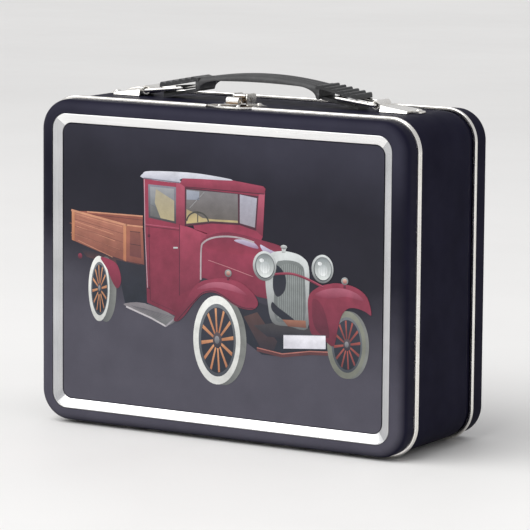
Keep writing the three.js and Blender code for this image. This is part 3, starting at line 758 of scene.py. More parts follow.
def handle_end():
    """One end of the grip: a ribbed plate over a flange, with a pocket for the loop between."""
    rib_count = 6
    pitch = (HANDLE_END - PLATE_START) / rib_count
    ribs = []
    for rib in range(rib_count):
        x = PLATE_START + rib * pitch
        here, there = plate_top(x), plate_top(x + pitch)
        rises = [(0.1, here), (0.62, here + 0.5), (0.8, there + 1.3), (0.92, there + 1.0)]
        ribs += [(x + share * pitch, height) for share, height in [*rises, (1, there)]]
    start, wall, lip_start, lip_top = 35.4, 36.9, 57.6, 174.4
    thick = PLATE_THICK
    plate = [
        (start, plate_under(start)),
        (start, plate_top(start)),
        *ribs,
        (HANDLE_END, plate_under(HANDLE_END)),
    ]
    flange = [
        (start, flange_under(start)),
        (start, flange_under(start) + thick),
        (wall, flange_under(wall) + thick),
        (lip_start, flange_under(lip_start) + thick),
        (lip_start, lip_top),
        (FLANGE_END, lip_top),
        (FLANGE_END, flange_under(FLANGE_END)),
    ]
    foot = [
        (start, flange_under(start)),
        (start, plate_under(start)),
        (wall, plate_under(wall)),
        (wall, flange_under(wall)),
    ]
    flange_half, foot_half = 5.7, HANDLE_HALF - 0.05
    shapes = [
        prism("y", plate, -HANDLE_HALF, HANDLE_HALF),
        prism("y", flange, -flange_half, flange_half),
        prism("y", foot, -foot_half, foot_half),
    ]
    return moved(together(*shapes), y=HANDLE_Y)


# 1 for the faces that look down, which get the painted bounce light.
def is_underside(middle, normal):
    return int(normal.z < -0.2)


def handle():
    piece("grip_arch", arch(), "handle", [PLASTIC, BOUNCE_LIT_PLASTIC],
          ["handle_grip"], sharp=40, pick=is_underside)
    for hand, side in SIDES.items():
        shape = mirrored(handle_end(), side)
        piece(f"grip_end_{hand}", shape, "handle", [PLASTIC], edge=0.25)


def loops():
    """Wire loops: a crossbar in the grip's pocket, two legs, and ends turned into the knuckle."""
    radius, spread, stub, bend = 1.0, 7.3, 2.6, 1.4
    for hand, side in SIDES.items():
        low, high = limits(f"handle_loop_{hand}")
        pivot_x = (high.x if side > 0 else -low.x) - radius
        bar_x = (low.x if side > 0 else -high.x) + radius
        pivot_z, bar_z = low.z + radius, high.z - radius
        corners = [
            (pivot_x, -stub, pivot_z),
            (pivot_x, -spread, pivot_z),
            (bar_x, -spread, bar_z),
            (bar_x, spread, bar_z),
            (pivot_x, spread, pivot_z),
            (pivot_x, stub, pivot_z),
        ]
        path = [(side * x, side * y + HANDLE_Y, z) for x, y, z in bent(corners, bend)]
        wire = tube(path, radius)
        node = f"handle_loop_{hand}"
        piece(f"wire_loop_{hand}", wire, f"loop_{hand}", [NICKEL], [node], sharp=60)


def leaning(shape, top):
    """Draws a shape's flanks in towards its top."""
    lean = 1.0
    points = []
    for point in shape[0]:
        share = max(point.z - FITTING_Z, 0) / (top - FITTING_Z)
        points.append(Vector((point.x, point.y - math.copysign(lean * share, point.y), point.z)))
    return points, shape[1]


def brackets():
    """Folded sheet brackets whose tops roll over into a knuckle round the loop's ends."""
    wall = 0.8
    inner_x, outer_x = 72.4, 88.3
    inner_top, outer_top = 174.4, 172.3
    fall = (inner_top - outer_top) / (outer_x - inner_x)
    knuckle, roll_radius, bore_radius, roll_half = (69.2, 174.4), 2.4, 1.6, 6.0
    neck_x, neck_end = 70.6, inner_x + 1.2
    tab_start, tab_end, tab_half, tab_round = 87.0, 92.4, 3.4, 1.4

    outside = [
        (inner_x, FITTING_Z),
        (outer_x, FITTING_Z),
        (outer_x, outer_top),
        (inner_x, inner_top),
    ]
    inside = [
        (inner_x - 1, FITTING_Z - 1),
        (outer_x - wall, FITTING_Z - 1),
        (outer_x - wall, inner_top - wall - fall * (outer_x - wall - inner_x)),
        (inner_x - 1, inner_top - wall + fall),
    ]
    neck = [
        (neck_x, inner_top + 0.6),
        (neck_end, inner_top),
        (neck_end, inner_top - wall),
        (neck_x, inner_top - wall),
    ]
    tab = [(tab_start, -tab_half), (tab_end, -tab_half)]
    tab += arc((tab_end - 0.2, -2.0), tab_round, -80, 0, 5)
    tab += arc((tab_end - 0.2, 2.0), tab_round, 0, 80, 5)
    tab += [(tab_end, tab_half), (tab_start, tab_half)]
    roll = arc(knuckle, roll_radius, 0, 345, 36) + arc(knuckle, bore_radius, 345, 0, 36)
    bore = prism("y", arc(knuckle, bore_radius, 0, 350, 35), -20, 20)

    for hand, side in SIDES.items():
        node = f"handle_bracket_{hand}"
        low, high = limits(node)
        half = (high.y - low.y) / 2
        cover = boolean(
            leaning(prism("y", outside, -half, half), inner_top),
            [leaning(prism("y", inside, -half + wall, half - wall), inner_top)],
        )
        additions = [
            prism("y", neck, -roll_half, roll_half),
            prism("z", tab, FITTING_Z, FITTING_Z + wall),
        ]
        body = boolean(boolean(cover, additions, "UNION"), [bore])
        shape = together(body, prism("y", roll, -roll_half, roll_half))
        shape = moved(mirrored(shape, side), y=HANDLE_Y)
        piece(f"bracket_{hand}", shape, "case", [NICKEL], [node], edge=0.3)


def rivets():
    """Domed rivets, each in its CAD rivet's place."""
    dome, skirt, tail = 0.9, 0.02, 0.5
    kinds = (("bracket", "case"), ("latch", "case"), ("catch", "lid"))
    for name, body in [(f"{kind}_rivet_{hand}", body) for hand in SIDES for kind, body in kinds]:
        low, high = limits(name)
        centre = (low + high) / 2
        radius = (high.x - low.x) / 2
        shank, foot = radius * 0.55, radius * 0.8
        rise = high.z - dome
        profile = [(0, high.z)]
        for angle in [math.radians(step) for step in range(15, 91, 15)]:
            profile.append((radius * math.sin(angle), rise + dome * math.cos(angle)))
        profile += [(radius, rise - skirt), (shank, rise - skirt), (shank, low.z + tail)]
        profile += [(foot, low.z + tail), (foot, low.z), (0, low.z)]
        shape = lathe(profile, (centre.x, centre.y, 0))
        piece(f"{name}_head", shape, body, [NICKEL], [name], sharp=50)


# ---- Latch ----
PIN_Y, PIN_Z = LATCH_PIN.y, LATCH_PIN.z
EAR_TOP = limits("latch_base")[1].z
NOSE_Y, NOSE_Z, NOSE_RADIUS = -26.9, 174.5, 2.1
LEVER_TOP = EAR_TOP - 0.2


def latch_plate():
    """A leaf-shaped plate with two upright ears, each with an oval eye for the axle."""
    plate_y = -16.2
    length = limits("latch_base")[1].x
    edge, crown = leaf(length, 5.2, plate_y), leaf(length - 1.2, 4.5, plate_y)
    levels = [(edge, 0.0), (edge, 0.45), (crown, 0.7)]
    plate = loft([[(x, y, FITTING_Z + rise) for x, y in ring] for ring, rise in levels])
    ear_foot, front_round, back_round = FITTING_Z + 0.1, 2.2, 0.8
    front_y, back_y = -11.6, -21.0
    ear = [(back_y, ear_foot), (front_y, ear_foot), (front_y, EAR_TOP - front_round)]
    ear += arc((front_y - front_round, EAR_TOP - front_round), front_round, 0, 90, 6)
    ear += arc((back_y + back_round, EAR_TOP - back_round), back_round, 90, 180, 4)
    ears = [prism("x", ear, *sorted((side * 3.6, side * 4.2))) for side in SIDES.values()]
    eye = [(PIN_Y + 0.95 * u, PIN_Z + 1.25 * v) for u, v in arc((0, 0), 1, 0, 345, 23)]
    shape = boolean(boolean(plate, ears, "UNION"), [prism("x", eye, -9, 9)])
    piece("latch_plate", shape, "case", [NICKEL], ["latch_base"], edge=0.14)

    half, tip, radius = 4.0, 3.9, 0.75
    pin = [(0, -half), (0.65, -half), (radius, -tip), (radius, tip), (0.65, half), (0, half)]
    axle = lathe(pin, (0, PIN_Y, PIN_Z), "x")
    piece("latch_axle", axle, "case", [NICKEL], ["latch_pin"])


def in_shade(middle, normal):
    """1 for the lever's parts under its hood, which get painted shade, 0 for the hood and the nose.
    """
    return int(middle.y > NOSE_Y + NOSE_RADIUS and middle.z < LEVER_TOP - 0.75)


def lever():
    """The lever: a hub on the axle, a hood over it and a tongue that ends in a rolled nose."""
    top = LEVER_TOP
    hood = [(PIN_Y + 0.5, PIN_Z), (PIN_Y + 0.5, top - 0.8)]
    hood += arc((PIN_Y - 0.3, top - 0.8), 0.8, 0, 90, 5)
    hood += arc((-20.4, top - 1.0), 1.0, 90, 180, 6)
    hood += [(-21.4, top - 1.9), (-20.8, top - 1.9)]
    hood += arc((-20.2, top - 1.3), 0.6, 180, 90, 4)
    hood += [(PIN_Y - 0.9, top - 0.7), (PIN_Y - 0.9, PIN_Z)]
    tongue_under, tongue_top = 173.25, 173.95
    tongue = [
        (NOSE_Y, tongue_under), (PIN_Y, tongue_under), (PIN_Y, tongue_top), (NOSE_Y, tongue_top),
    ]
    pin, nose = (PIN_Y, PIN_Z), (NOSE_Y, NOSE_Z)
    hood_half, tongue_half, nose_half = 3.2, 2.9, limits("latch_lever")[1].x
    hub = prism("x", arc(pin, 1.9, 0, 350, 35), -hood_half, hood_half)
    additions = [
        prism("x", hood, -hood_half, hood_half),
        prism("x", tongue, -tongue_half, tongue_half),
    ]
    bores = [
        prism("x", arc(centre, radius, 0, 350, 35), -9, 9)
        for centre, radius in ((pin, 1.05), (nose, 1.5))
    ]
    body = boolean(boolean(hub, additions, "UNION"), bores)
    roll = arc(nose, NOSE_RADIUS, -100, 225, 36) + arc(nose, 1.4, 225, -100, 36)
    shape = together(body, prism("x", roll, -nose_half, nose_half))
    piece("lever", shape, "latch", [NICKEL, SHADED_NICKEL], ["latch_lever"],
          edge=0.12, pick=in_shade)


def in_dish(middle, normal):
    """1 for the catch's dished middle, which gets painted shade."""
    return int(normal.z > 0.5 and middle.z < FITTING_Z + 0.7)


def catch():
    """A leaf-shaped catch plate with a raised rim, cut away where the nose passes."""
    def ring(narrower, slimmer):
        return leaf(CATCH_HALF.x - narrower, CATCH_HALF.y - slimmer, CATCH.y)

    outer, crest, inner = ring(0, 0), ring(1.0, 0.4), ring(2.4, 0.9)
    dish = 0.6
    levels = [(outer, 0.0), (outer, dish), (crest, 0.95), (inner, 0.8), (inner, dish)]
    plate = loft([[(x, y, FITTING_Z + rise) for x, y in line] for line, rise in levels])
    passage = block((-4.6, 4.6), (CATCH.y, -20), (FITTING_Z + dish + 0.02, FITTING_Z + 3))
    piece("catch", boolean(plate, [passage]), "lid", [NICKEL, SHADED_NICKEL],
          ["catch_plate"], edge=0.08, pick=in_dish)


def carried_over():
    """CAD pieces whose shape is right, with the nickel finish."""
    for hand in SIDES:
        for name in ("hinge_case_leaf", "hinge_lid_leaf", "hinge_pin"):
            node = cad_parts[f"{name}_{hand}"]
            node.data.materials.clear()
            node.data.materials.append(NICKEL)


# ---- The picture printed on the panel ----
# A generic old pickup truck. Its shapes are in millimetres from the panel's middle, each a thin
# layer of ink over the layers before it.
LAYER = 0.02
PICTURE_X = -1.0
HAZE = (0.008, 0.016, 0.026, 0.0)  # light that the varnish adds to every colour


class Print:
    """Shapes printed in ink, which become one piece."""

    def __init__(self, name):
        self.name = name
        self.shapes = []
        self.colours = []

    def fill(self, layer, points, low, high=None, across=False):
        """An outline in one colour, or shaded from low to high upwards or, across, to the right."""
        high = high or low
        axis = 0 if across else 1
        values = [point[axis] for point in points]
        start, reach = min(values), max(max(values) - min(values), 1e-6)
        front = PANEL_Y - LAYER * layer
        shifted = [(x + PICTURE_X, MIDDLE_Z + z) for x, z in points]
        self.shapes.append(prism("y", shifted, PANEL_Y + 0.01, front))
        first, last = ([c + h for c, h in zip(linear(*tone), HAZE)] for tone in (low, high))
        shades = []
        for value in values:
            t = (value - start) / reach
            shades.append([a + (b - a) * t for a, b in zip(first, last)])
        self.colours += shades * 2

    def line(self, layer, points, width, colour):
        """An open stroke of one width."""
        path = [Vector(point) for point in points]
        left, right = [], []
        for i, point in enumerate(path):
            ahead = (path[min(i + 1, len(path) - 1)] - path[max(i - 1, 0)]).normalized()
            across = Vector((-ahead.y, ahead.x)) * width / 2
            left.append(tuple(point + across))
            right.append(tuple(point - across))
        self.fill(layer, left + right[::-1], colour)

    def finish(self):
        mesh = new_mesh(self.name, together(*self.shapes))
        stored = mesh.color_attributes.new("ink", "FLOAT_COLOR", "POINT")
        for item, colour in zip(stored.data, self.colours):
            item.color = colour
        mesh.materials.append(INK)
        made = placed(self.name, mesh)
        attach(made, "lid")


def oval(x, z, half_width, half_height, start=0, end=360, steps=48):
    """Points of an ellipse, or of the part between two angles."""
    whole = end - start >= 360
    steps = steps - 1 if whole else steps
    stop = start + 360 * (1 - 1 / (steps + 1)) if whole else end
    round_points = arc((0, 0), 1, start, stop, steps)
    return [(x + half_width * u, z + half_height * v) for u, v in round_points]


def spline(a, b, c, d, steps):
    """Points on the smooth curve from b to c that comes from a and goes on to d."""
    a, b, c, d = Vector(a), Vector(b), Vector(c), Vector(d)
    square, cube = 2 * a - 5 * b + 4 * c - d, 3 * b - a - 3 * c + d
    path = []
    for t in [step / steps for step in range(steps)]:
        path.append(tuple(0.5 * (2 * b + (c - a) * t + square * t * t + cube * t ** 3)))
    return path


def curved(points, steps=5):
    """A smooth closed outline through the points."""
    path = []
    for i in range(len(points)):
        path += spline(*(points[(i + k) % len(points)] for k in (-1, 0, 1, 2)), steps)
    return path


def curve(points, steps=6):
    """A smooth open path through the points."""
    ends = [points[0], *points, points[-1]]
    path = []
    for four in zip(ends, ends[1:], ends[2:], ends[3:]):
        path += spline(*four, steps)
    path.append(tuple(points[-1]))
    return path


RED, DEEP_RED, DARK_RED = (152, 46, 70), (118, 28, 48), (76, 18, 32)
LIGHT_RED = (184, 84, 104)
WOOD, DARK_WOOD, PALE_WOOD = (182, 118, 92), (132, 72, 54), (208, 146, 112)
SHADOW, SOOT = (36, 26, 32), (22, 18, 24)
CHROME, PALE_CHROME, GREY = (168, 172, 170), (222, 226, 224), (104, 104, 102)
WHITEWALL, TYRE = (244, 244, 238), (128, 128, 122)
SPOKES = (172, 110, 72), (214, 152, 104)
RED_SPOKES = (120, 50, 44), (170, 82, 66)


def wheel(ink, layer, x, z, half_width, half_height, tread, wall, spoke):
    """A spoked wheel seen at an angle: tread to the right, side wall, felloe, spokes and hub."""
    ink.fill(layer, oval(x + tread, z, half_width, half_height), (66, 66, 66), TYRE, across=True)
    ink.fill(layer + 1, oval(x, z, half_width, half_height), tuple(c * 0.86 for c in wall), wall)
    inner_x, inner_z = half_width * 0.79, half_height * 0.82
    ink.fill(layer + 2, oval(x + 0.3, z, inner_x, inner_z), (62, 62, 66), (116, 118, 120))
    ink.fill(layer + 3, oval(x + 0.4, z, inner_x * 0.88, inner_z * 0.9), SOOT, (48, 44, 54))
    for angle in turns(12, 0.12):
        reach = Vector((math.cos(angle) * inner_x * 0.86, math.sin(angle) * inner_z * 0.88))
        base = Vector((math.cos(angle) * inner_x * 0.2, math.sin(angle) * inner_z * 0.2))
        side = Vector((-math.sin(angle) * inner_x, math.cos(angle) * inner_z)) * 0.052
        middle = Vector((x + 0.4, z))
        start, end = middle + base, middle + reach
        corners = [start - side * 0.7, end - side, end + side, start + side * 0.7]
        ink.fill(layer + 4, [tuple(corner) for corner in corners], *spoke)
    ink.fill(layer + 5, oval(x + 0.4, z, inner_x * 0.24, inner_z * 0.22), SHADOW, (92, 78, 78))
    ink.fill(
        layer + 6, oval(x + 0.2, z + 0.2, inner_x * 0.13, inner_z * 0.11), (90, 88, 90),
        (150, 148, 150),
    )


def chassis(ink):
    """Everything low and dark under the truck, and its running board."""
    ink.fill(
        1, [(-84, 7), (-59, 5), (-43, 0.5), (-43, -9), (-55, -0.5), (-80, 3)], DARK_WOOD, SHADOW,
    )
    ink.fill(1.3, [(-62, 3), (-43, 1), (-42, -19), (-56, -20)], SOOT, SHADOW)
    ink.fill(
        1.6, [(8, -8), (34, -14), (60, -14), (72, -20), (70, -34), (40, -38.5), (27, -38.5),
        (12, -30)], SOOT, SHADOW,
    )
    ink.fill(2, [(16, -20), (24, -17), (36, -31), (34, -36), (28, -38)], SHADOW, (84, 54, 44))
    ink.line(3, [(24, -36), (39, -37.8), (55, -35), (72, -34)], 2.2, (92, 46, 42))
    ink.line(4, [(24, -35.3), (39, -37.1), (55, -34.3), (72, -33.3)], 0.5, (176, 110, 96))
    ink.fill(
        2.5, [(22, -24), (35, -21.5), (56, -22.5), (66, -26), (60, -29), (30, -29)], SHADOW,
        (70, 62, 60),
    )
    ink.fill(
        4, curved([(-56, -19.4), (-44, -18.3), (-25, -24), (-31, -29), (-40, -25.5),
        (-55, -21)], 3), GREY, (136, 128, 130),
    )
    ink.line(5, [(-55.5, -21), (-40, -25.7), (-31, -29.2)], 0.9, (196, 190, 192))
    ink.line(5, [(-31, -29.2), (-25, -24.2)], 0.9, (150, 144, 148))
    for i in range(5):
        slide = i * 1.7
        ink.line(
            5, [(-52 + slide, -20.2 - slide * 0.12), (-34 + slide, -26 - slide * -0.3)], 0.18,
            (92, 86, 90),
        )


def bed(ink):
    """The wooden bed: its planks, posts and rails."""
    ink.fill(
        2, [(-89.5, 26.6), (-80, 27.1), (-45.4, 27.3), (-45.4, 20.6), (-55.5, 21)], DARK_WOOD,
        (150, 80, 58),
    )
    ink.line(3, [(-80, 26.8), (-45.4, 27)], 0.7, PALE_WOOD)
    ink.line(3, [(-79, 25.6), (-45.4, 25)], 0.25, (92, 42, 32))
    ink.fill(
        4, [(-89.5, 26.6), (-55.5, 21.2), (-55.7, 2.9), (-72, 6.3), (-89.2, 11.3)], DARK_WOOD, WOOD,
    )
    for share in (0.25, 0.5, 0.75):
        left = (-89.4, 26.6 - share * 15.3)
        right = (-55.6, 21.2 - share * 18.3)
        ink.line(6, [left, right], 0.25, (128, 72, 56))
    for i in range(9):
        share = (i + 0.55) / 9
        drop = 0.35 * math.sin(i * 2.1)
        left = (-88 + 3 * math.sin(i * 1.7), 26.2 - share * 15.3 + drop)
        right = (-58 - 6 * abs(math.sin(i)), 21.6 - share * 18 + drop)
        ink.line(5, [left, right], 0.3, (156, 92, 70) if i % 2 else (206, 142, 110))
    for x, top, bottom in ((-88.6, 26.4, 11.4), (-56.4, 21.3, 3.2)):
        ink.fill(
            7, [(x - 0.9, top), (x + 0.9, top - 0.3), (x + 0.9, bottom - 0.6), (x - 0.9, bottom)],
            (176, 110, 72), (206, 140, 98),
        )
    ink.line(7, [(-89.8, 27), (-55.3, 21.6)], 1.1, PALE_WOOD)
    ink.fill(
        5, [(-55.5, 21.4), (-45.4, 21.2), (-44.4, 1.8), (-55.7, 2.9)], (124, 66, 50),
        (168, 100, 74),
    )
    ink.fill(
        6, [(-53.2, 18.6), (-46.8, 18.5), (-46.2, 5), (-53.3, 5.8)], (104, 52, 44), (138, 78, 62),
    )
    ink.line(7, [(-53.2, 18.6), (-46.8, 18.5)], 0.3, (70, 32, 26))
    ink.line(7, [(-53.3, 12), (-46.5, 11.6)], 0.3, (70, 32, 26))
    ink.line(7, [(-55.7, 21.7), (-45.3, 21.5)], 0.8, PALE_WOOD)
    ink.fill(4, oval(-84.3, 3.2, 1.3, 1.5), DARK_RED, RED)


def cab(ink):
    """The cab, with its door, windows, wheel and roof."""
    body = [
        (-45, 46.5), (-22.8, 46.2), (-19.5, 44), (-19.6, 24), (-6.2, 21), (-9.6, 14.6), (-8.7, -2),
        (-14, -8), (-18, -15), (-24.5, -23.5), (-42.6, -17.8),
    ]
    ink.fill(3, body, DEEP_RED, (156, 48, 70))
    ink.fill(3, [(-24, 46.2), (28, 45.3), (27, 22), (22, 12), (-10, 14)], RED, (142, 40, 62))
    ink.fill(
        4, [(-23, 24.5), (-19.6, 24), (-6.2, 20.6), (-9.5, 14.6), (-9, -2), (-14, -8),
        (-22.8, -12)], DEEP_RED, (166, 60, 82),
    )
    ink.line(5, [(-22.9, 24.6), (-22.8, -12.5)], 0.35, DARK_RED)
    ink.line(5, [(-44.2, 23), (-23.2, 22.4)], 0.5, (176, 80, 100))
    ink.line(5, [(-44.1, 22), (-23.2, 21.4)], 0.25, DARK_RED)
    ink.line(5, [(-41.6, 21.5), (-40.6, -16.5), (-25.5, -21)], 0.25, DARK_RED)
    ink.fill(5, [(-26.6, 12.5), (-23.9, 12.7), (-23.9, 11.8), (-26.6, 11.6)], CHROME, PALE_CHROME)
    for z in (18, -9):
        ink.fill(
            5, [(-42.4, z), (-40.8, z), (-40.8, z - 1.5), (-42.4, z - 1.5)], DARK_RED, DEEP_RED,
        )
    ink.line(6, [(-44.5, 46.3), (-44, 20), (-42.3, -10)], 0.5, (190, 150, 158))
    ink.fill(
        4, [(-42.1, 43.9), (-25.1, 43.6), (-25, 24.6), (-41.8, 26.6)], (64, 52, 50),
        (134, 132, 142),
    )
    ink.fill(
        5, [(-40.9, 42.8), (-26.3, 42.6), (-26.2, 33), (-33, 31), (-40.7, 33.6)], (112, 116, 118),
        (158, 158, 160),
    )
    ink.fill(
        5.5, [(-40.8, 33.4), (-33, 31), (-26.2, 33), (-26.1, 25.7), (-40.7, 27.5)], (96, 92, 88),
        (120, 120, 118),
    )
    ink.fill(
        6, [(-37.4, 41.8), (-26.2, 36.4), (-26.1, 25.9), (-34.4, 26.9), (-38, 34.5)],
        (186, 172, 132), (170, 160, 136),
    )
    ink.fill(
        4, [(-19.8, 43.8), (24.6, 42.4), (23.2, 24.6), (13.3, 26.8), (-3.6, 26.4), (-19.7, 23.6)],
        DARK_RED,
    )
    ink.fill(
        5, [(-18.9, 42.9), (12, 42.6), (12.4, 27.7), (-3.6, 27.4), (-18.8, 24.8)], (96, 86, 74),
        (124, 118, 118),
    )
    ink.fill(
        5, [(13.2, 42.5), (23.4, 41.3), (22.3, 26.2), (13.3, 27.8)], (158, 152, 160),
        (172, 170, 182),
    )
    ink.fill(
        6, [(-18.7, 32.6), (-13.5, 31), (-9, 28.8), (-2.5, 28.6), (12, 29), (12.3, 27.9),
        (-3.6, 27.6), (-18.7, 25.2)], (196, 176, 120), (170, 154, 116),
    )
    ink.line(8, oval(-11.9, 26.2, 6.6, 5.4, 4, 176, 24), 0.8, (70, 66, 54))
    ink.line(8, [(-11.9, 26.4), (-11.9, 31.4)], 0.6, (84, 78, 62))
    ink.fill(
        7, [(-18.7, 42.5), (-11, 42.3), (-11, 38), (-18.6, 37.6)], (140, 144, 156), (160, 164, 176),
    )
    ink.line(7, [(-16.8, 33.4), (-8, 42.2)], 0.3, (158, 156, 156))
    ink.fill(6, [(24.4, 43), (28.1, 45.3), (27, 22), (23.1, 24.6)], DEEP_RED, LIGHT_RED)
    ink.fill(
        5, [(-25.1, 46), (-19.8, 45.6), (-19.7, 23.8), (-25, 24.5)], (130, 36, 56), (176, 76, 96),
    )
    ink.fill(
        7, [(-22.8, 45.8), (-21, 48.4), (8.6, 49.4), (27, 47.6), (28.4, 46.4), (27.8, 43.6),
        (-19.5, 43.9)], (128, 32, 54), (168, 62, 84),
    )
    ink.line(8, [(-19.5, 44.1), (27.6, 43.7)], 0.4, DARK_RED)
    ink.fill(
        8, curved([(-45, 46.8), (-45.3, 49.2), (-41, 50.8), (-19.5, 51.6), (-4, 51), (9, 49.3),
        (-21, 48.4), (-23.2, 45.8)], 3), (176, 176, 188), (226, 226, 234),
    )
    ink.line(9, [(-44.8, 46.9), (-23, 46)], 0.6, (120, 112, 124))


def hood(ink):
    """The hood and the radiator."""
    side = [
        (-9.6, 14.4), (-8.7, -2), (4, -4), (17.4, -5.4), (24, -9), (34, -10), (34, 10), (22.5, 12),
        (0, 12.6),
    ]
    ink.fill(5, side, DEEP_RED, RED)
    top = curved(
        [(-9.9, 14.6), (-6.4, 19.4), (6.8, 22.6), (25.6, 20.2), (38.5, 17.4), (34, 13.4),
        (22.5, 11.6), (4, 12)], 4,
    )
    ink.fill(6, top, (150, 44, 66), (122, 32, 54))
    ink.fill(
        7, curved([(10, 18.6), (15, 19.6), (22, 18.4), (24.5, 15.6), (19, 16.2)], 4),
        (150, 112, 140), (196, 190, 212),
    )
    ink.fill(
        7, curved([(25.5, 17.8), (31, 15.8), (38, 13.6), (34.5, 13), (28, 14)], 4), (168, 150, 176),
        (204, 200, 222),
    )
    ink.line(7, curve([(-5.5, 7.4), (6, 4.8), (21.5, 1)]), 0.3, (196, 130, 134))
    ink.line(
        8, curve([(-9.9, -3.2), (-9.7, 12.6), (-8, 16.4), (-3, 19), (5, 20.4), (14, 20.2),
        (22, 18.6)]), 0.9, (178, 164, 166),
    )
    shell = curved(
        [(31, 12.6), (36, 15.2), (43, 15.4), (50, 13.6), (54.2, 8.4), (54.4, -8), (53.8, -22.7),
        (43, -22.6), (33.1, -21.3), (30, -10), (28.8, 2)], 4,
    )
    ink.fill(8, shell, GREY, PALE_CHROME)
    core = curved(
        [(35, 8), (38, 10.6), (45, 11), (50, 9.2), (51.8, 4), (52, -18.6), (43.6, -19.8),
        (35.2, -20), (34, -6)], 4,
    )
    ink.fill(9, core, (104, 106, 104), (124, 128, 124))
    for i in range(13):
        x = 36.4 + i * 1.18
        top_z = 9.4 - 0.06 * (x - 43) ** 2
        ink.line(10, [(x, top_z), (x + 0.1, -19)], 0.42, (148, 152, 148))
    ink.fill(
        11, curved([(35, 8), (38.6, 6), (41, 1), (40, -5), (36, -8), (33.4, -4), (33.6, 4)], 4),
        SHADOW, SOOT,
    )
    ink.fill(
        11.5, curved([(33, -11), (36.5, -13.4), (45.5, -18.6), (47, -21), (44.6, -22), (35, -17),
        (32.4, -14)], 4), SOOT, SHADOW,
    )
    ink.fill(
        12, [(39, -19.4), (52.6, -18.8), (53, -22.4), (42.4, -22.6)], (120, 74, 56), (164, 110, 84),
    )
    ink.fill(9, [(38.4, 14.6), (40.4, 14.8), (40.8, 17.2), (38.2, 17)], CHROME, PALE_CHROME)
    ink.fill(10, oval(39.5, 17.6, 1.9, 1.1), GREY, PALE_CHROME)


def fenders(ink):
    """The three fenders that show."""
    ink.fill(
        6, curved([(-71.5, 3.4), (-66, 3), (-60.8, 0), (-58.6, -7.6), (-61, -12), (-64.5, -8),
        (-67.5, -2)], 4), DEEP_RED, RED,
    )
    left = curved(
        [(-26, -24.5), (-20, -17), (-15, -8.6), (-9.5, -4), (-1, -1.8), (7, -1.3), (15.5, -3.2),
        (22, -8), (24.6, -12.6), (21.5, -15.8), (15, -15.8), (9.5, -14), (4, -11), (-2, -9),
        (-8.5, -10.4), (-14, -15.6), (-19.5, -22.6), (-24, -26)], 4,
    )
    ink.fill(13, left, (106, 24, 42), (150, 48, 70))
    glow = curved(
        [(-12, -8), (-5, -4.4), (4, -3.4), (12, -5), (18, -9), (10, -7.6), (0, -6.4), (-7, -7.6)],
        4,
    )
    ink.fill(14, glow, (140, 44, 66), (180, 98, 116))
    ink.line(
        14, curve([(-24, -25.4), (-14, -14.8), (-8.5, -9.8), (-2, -8.4), (4, -10.4), (10, -13.6),
        (16, -15.4), (22, -15.2)]), 0.5, DARK_RED,
    )
    right = curved(
        [(54.4, -6), (60, -1), (66, 1), (71.5, 1.8), (81, 0.6), (88, -4), (90.6, -12.6),
        (87, -11.2), (82, -10), (77, -10.6), (73.4, -14.6), (71.2, -22), (69, -30.4), (63, -27.4),
        (56, -25), (54.2, -15)], 4,
    )
    ink.fill(13, right, (106, 24, 42), (146, 46, 66))
    ink.fill(
        14, curved([(58, -5), (65, -1.6), (74, -0.6), (82, -2.4), (86, -6), (76, -4.6),
        (66, -6.4)], 4), (136, 42, 64), (174, 92, 110),
    )
    ink.fill(
        14, curved([(56.5, -8), (60, -8), (64, -14), (66.5, -26), (60, -24), (56.8, -18)], 4),
        (84, 16, 32), (122, 32, 52),
    )


def lamps(ink):
    """Head lamps, side lamps, the bar between them and the number plate."""
    ink.line(15, curve([(34, 3.4), (44, 4.4), (53, 2.6), (63, -1)]), 1.2, (128, 36, 54))
    ink.line(16, curve([(34, 3.7), (44, 4.7), (53, 2.9), (63, -0.7)]), 0.3, LIGHT_RED)
    for x, z, wide, tall in ((28.3, 7.1, 6.9, 7.6), (62.2, 8.3, 6.3, 7.2)):
        ink.fill(16, oval(x, z, wide, tall), GREY, PALE_CHROME)
        ink.fill(
            17, oval(x + 0.2, z, wide * 0.84, tall * 0.85), (60, 60, 60),
            (130, 132, 130),
        )
        ink.fill(
            18, oval(x + 0.3, z, wide * 0.76, tall * 0.78), (226, 230, 226),
            (128, 134, 134),
        )
        ink.fill(
            19, oval(x + 0.3, z - 0.6, wide * 0.42, tall * 0.4), (240, 242, 240),
            (176, 182, 182),
        )
        ink.fill(
            20,
            oval(x - wide * 0.25, z + tall * 0.36, wide * 0.2, tall * 0.13),
            (246, 248, 248),
        )
        for i in range(-2, 3):
            ink.line(
                20, [(x + 0.3 + i * 1.5, z - tall * 0.55),
                (x + 0.3 + i * 1.5, z + tall * 0.5)], 0.14, (178, 182, 180),
            )
    for x, z in ((6.7, 1.6), (75.1, 3.2)):
        ink.fill(
            15, [(x - 0.7, z - 3.6), (x + 0.7, z - 3.6), (x + 0.5, z), (x - 0.5, z)], DARK_RED, RED,
        )
        ink.fill(16, oval(x, z, 2.0, 1.9), GREY, CHROME)
        ink.fill(17, oval(x + 0.1, z, 1.2, 1.2), (150, 60, 60), (226, 190, 170))
    ink.fill(
        17, [(39.8, -27.3), (64.4, -25.4), (64.5, -32.2), (39.9, -34.2)], (214, 212, 220),
        (244, 242, 248),
    )
    ink.line(18, [(39.8, -27.2), (64.4, -25.3)], 0.3, (120, 118, 124))


def wheels(ink):
    """The three wheels that show."""
    wheel(ink, 3, -72.4, -13.0, 6.6, 17.2, 4.2, WHITEWALL, SPOKES)
    wheel(ink, 5, 76.4, -29.0, 11.2, 17.2, 1.8, (136, 136, 120), RED_SPOKES)
    wheel(ink, 6, 0.0, -33.6, 14.2, 23.0, 3.6, WHITEWALL, SPOKES)


def picture():
    """Prints the truck, each group of shapes as one piece."""
    for draw in (chassis, bed, cab, hood, wheels, fenders, lamps):
        ink = Print(f"print_{draw.__name__}")
        draw(ink)
        ink.finish()


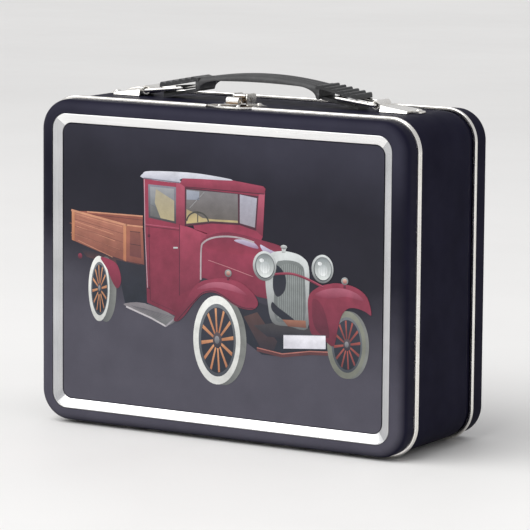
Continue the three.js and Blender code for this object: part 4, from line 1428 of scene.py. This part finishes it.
# ---- Floor, light and camera ----
def floor():
    """A pale floor with painted shade that darkens it a little towards the back."""
    reach = 14.0
    mesh = bpy.data.meshes.new("floor")
    corners = [(-reach, -reach, 0), (reach, -reach, 0), (reach, reach, 0), (-reach, reach, 0)]
    mesh.from_pydata(corners, [], [(0, 1, 2, 3)])
    pale = surface(
        "pale_floor", ((239, 238, 236), (244, 243, 241)), (0.45, 0.6),
        specular=0.2, patch=3, bump=0.01,
    )
    tree = pale.node_tree
    base = tree.nodes["Principled BSDF"].inputs["Base Color"]
    # painted shade: the light's falloff towards the back
    depth = ranged(tree, axes(tree)[1], 0.0, 1.0, -0.3, 1.4)
    shade = linear(226, 226, 226)
    feed(tree, base, mixed(tree, depth, base.links[0].from_socket, shade, "MULTIPLY"))
    mesh.materials.append(pale)
    placed("floor", mesh)


def light():
    """A nearly even sky, a little darker to the right, and one very wide key light."""
    world = bpy.data.worlds.new("studio")
    bpy.context.scene.world = world
    world.use_nodes = True
    tree = world.node_tree
    rightward = ranged(tree, axes(tree, "Generated")[0], 0.0, 1.0, 0.1, 0.75)
    sky = mixed(tree, rightward, (0.68, 0.68, 0.69, 1), (0.6, 0.6, 0.61, 1))
    feed(tree, tree.nodes["Background"].inputs["Color"], sky)

    data = bpy.data.lights.new("key", "SUN")
    data.energy = 2.15
    data.angle = math.radians(60)
    towards_light = Vector((-0.5, -0.75, 1.1))
    placed("key", data).rotation_euler = towards_light.to_track_quat("Z", "Y").to_euler()


def camera():
    """A long lens from the front right and a little above, turned a touch to one side."""
    azimuth, elevation, roll = math.radians(31), math.radians(8.24), math.radians(0.45)
    distance = 1.8808
    target = Vector((-0.27, 5.54, 86.0)) * MM
    back = Vector((
        math.sin(azimuth) * math.cos(elevation),
        -math.cos(azimuth) * math.cos(elevation),
        math.sin(elevation),
    ))
    right = Vector((math.cos(azimuth), math.sin(azimuth), 0))
    up = back.cross(right)
    across = right * math.cos(roll) + up * math.sin(roll)
    upward = up * math.cos(roll) - right * math.sin(roll)
    data = bpy.data.cameras.new("camera")
    data.lens = 245.0
    data.sensor_width = 36.0
    data.clip_end = 60
    eye = placed("camera", data)
    turn = Matrix((across, upward, back)).transposed().to_4x4()
    eye.matrix_world = Matrix.Translation(target + back * distance) @ turn
    bpy.context.scene.camera = eye


bpy.context.scene.view_settings.view_transform = "Standard"
case_band()
back_cover()
rims()
lid()
handle()
loops()
brackets()
rivets()
latch_plate()
lever()
catch()
carried_over()
picture()
floor()
light()
camera()
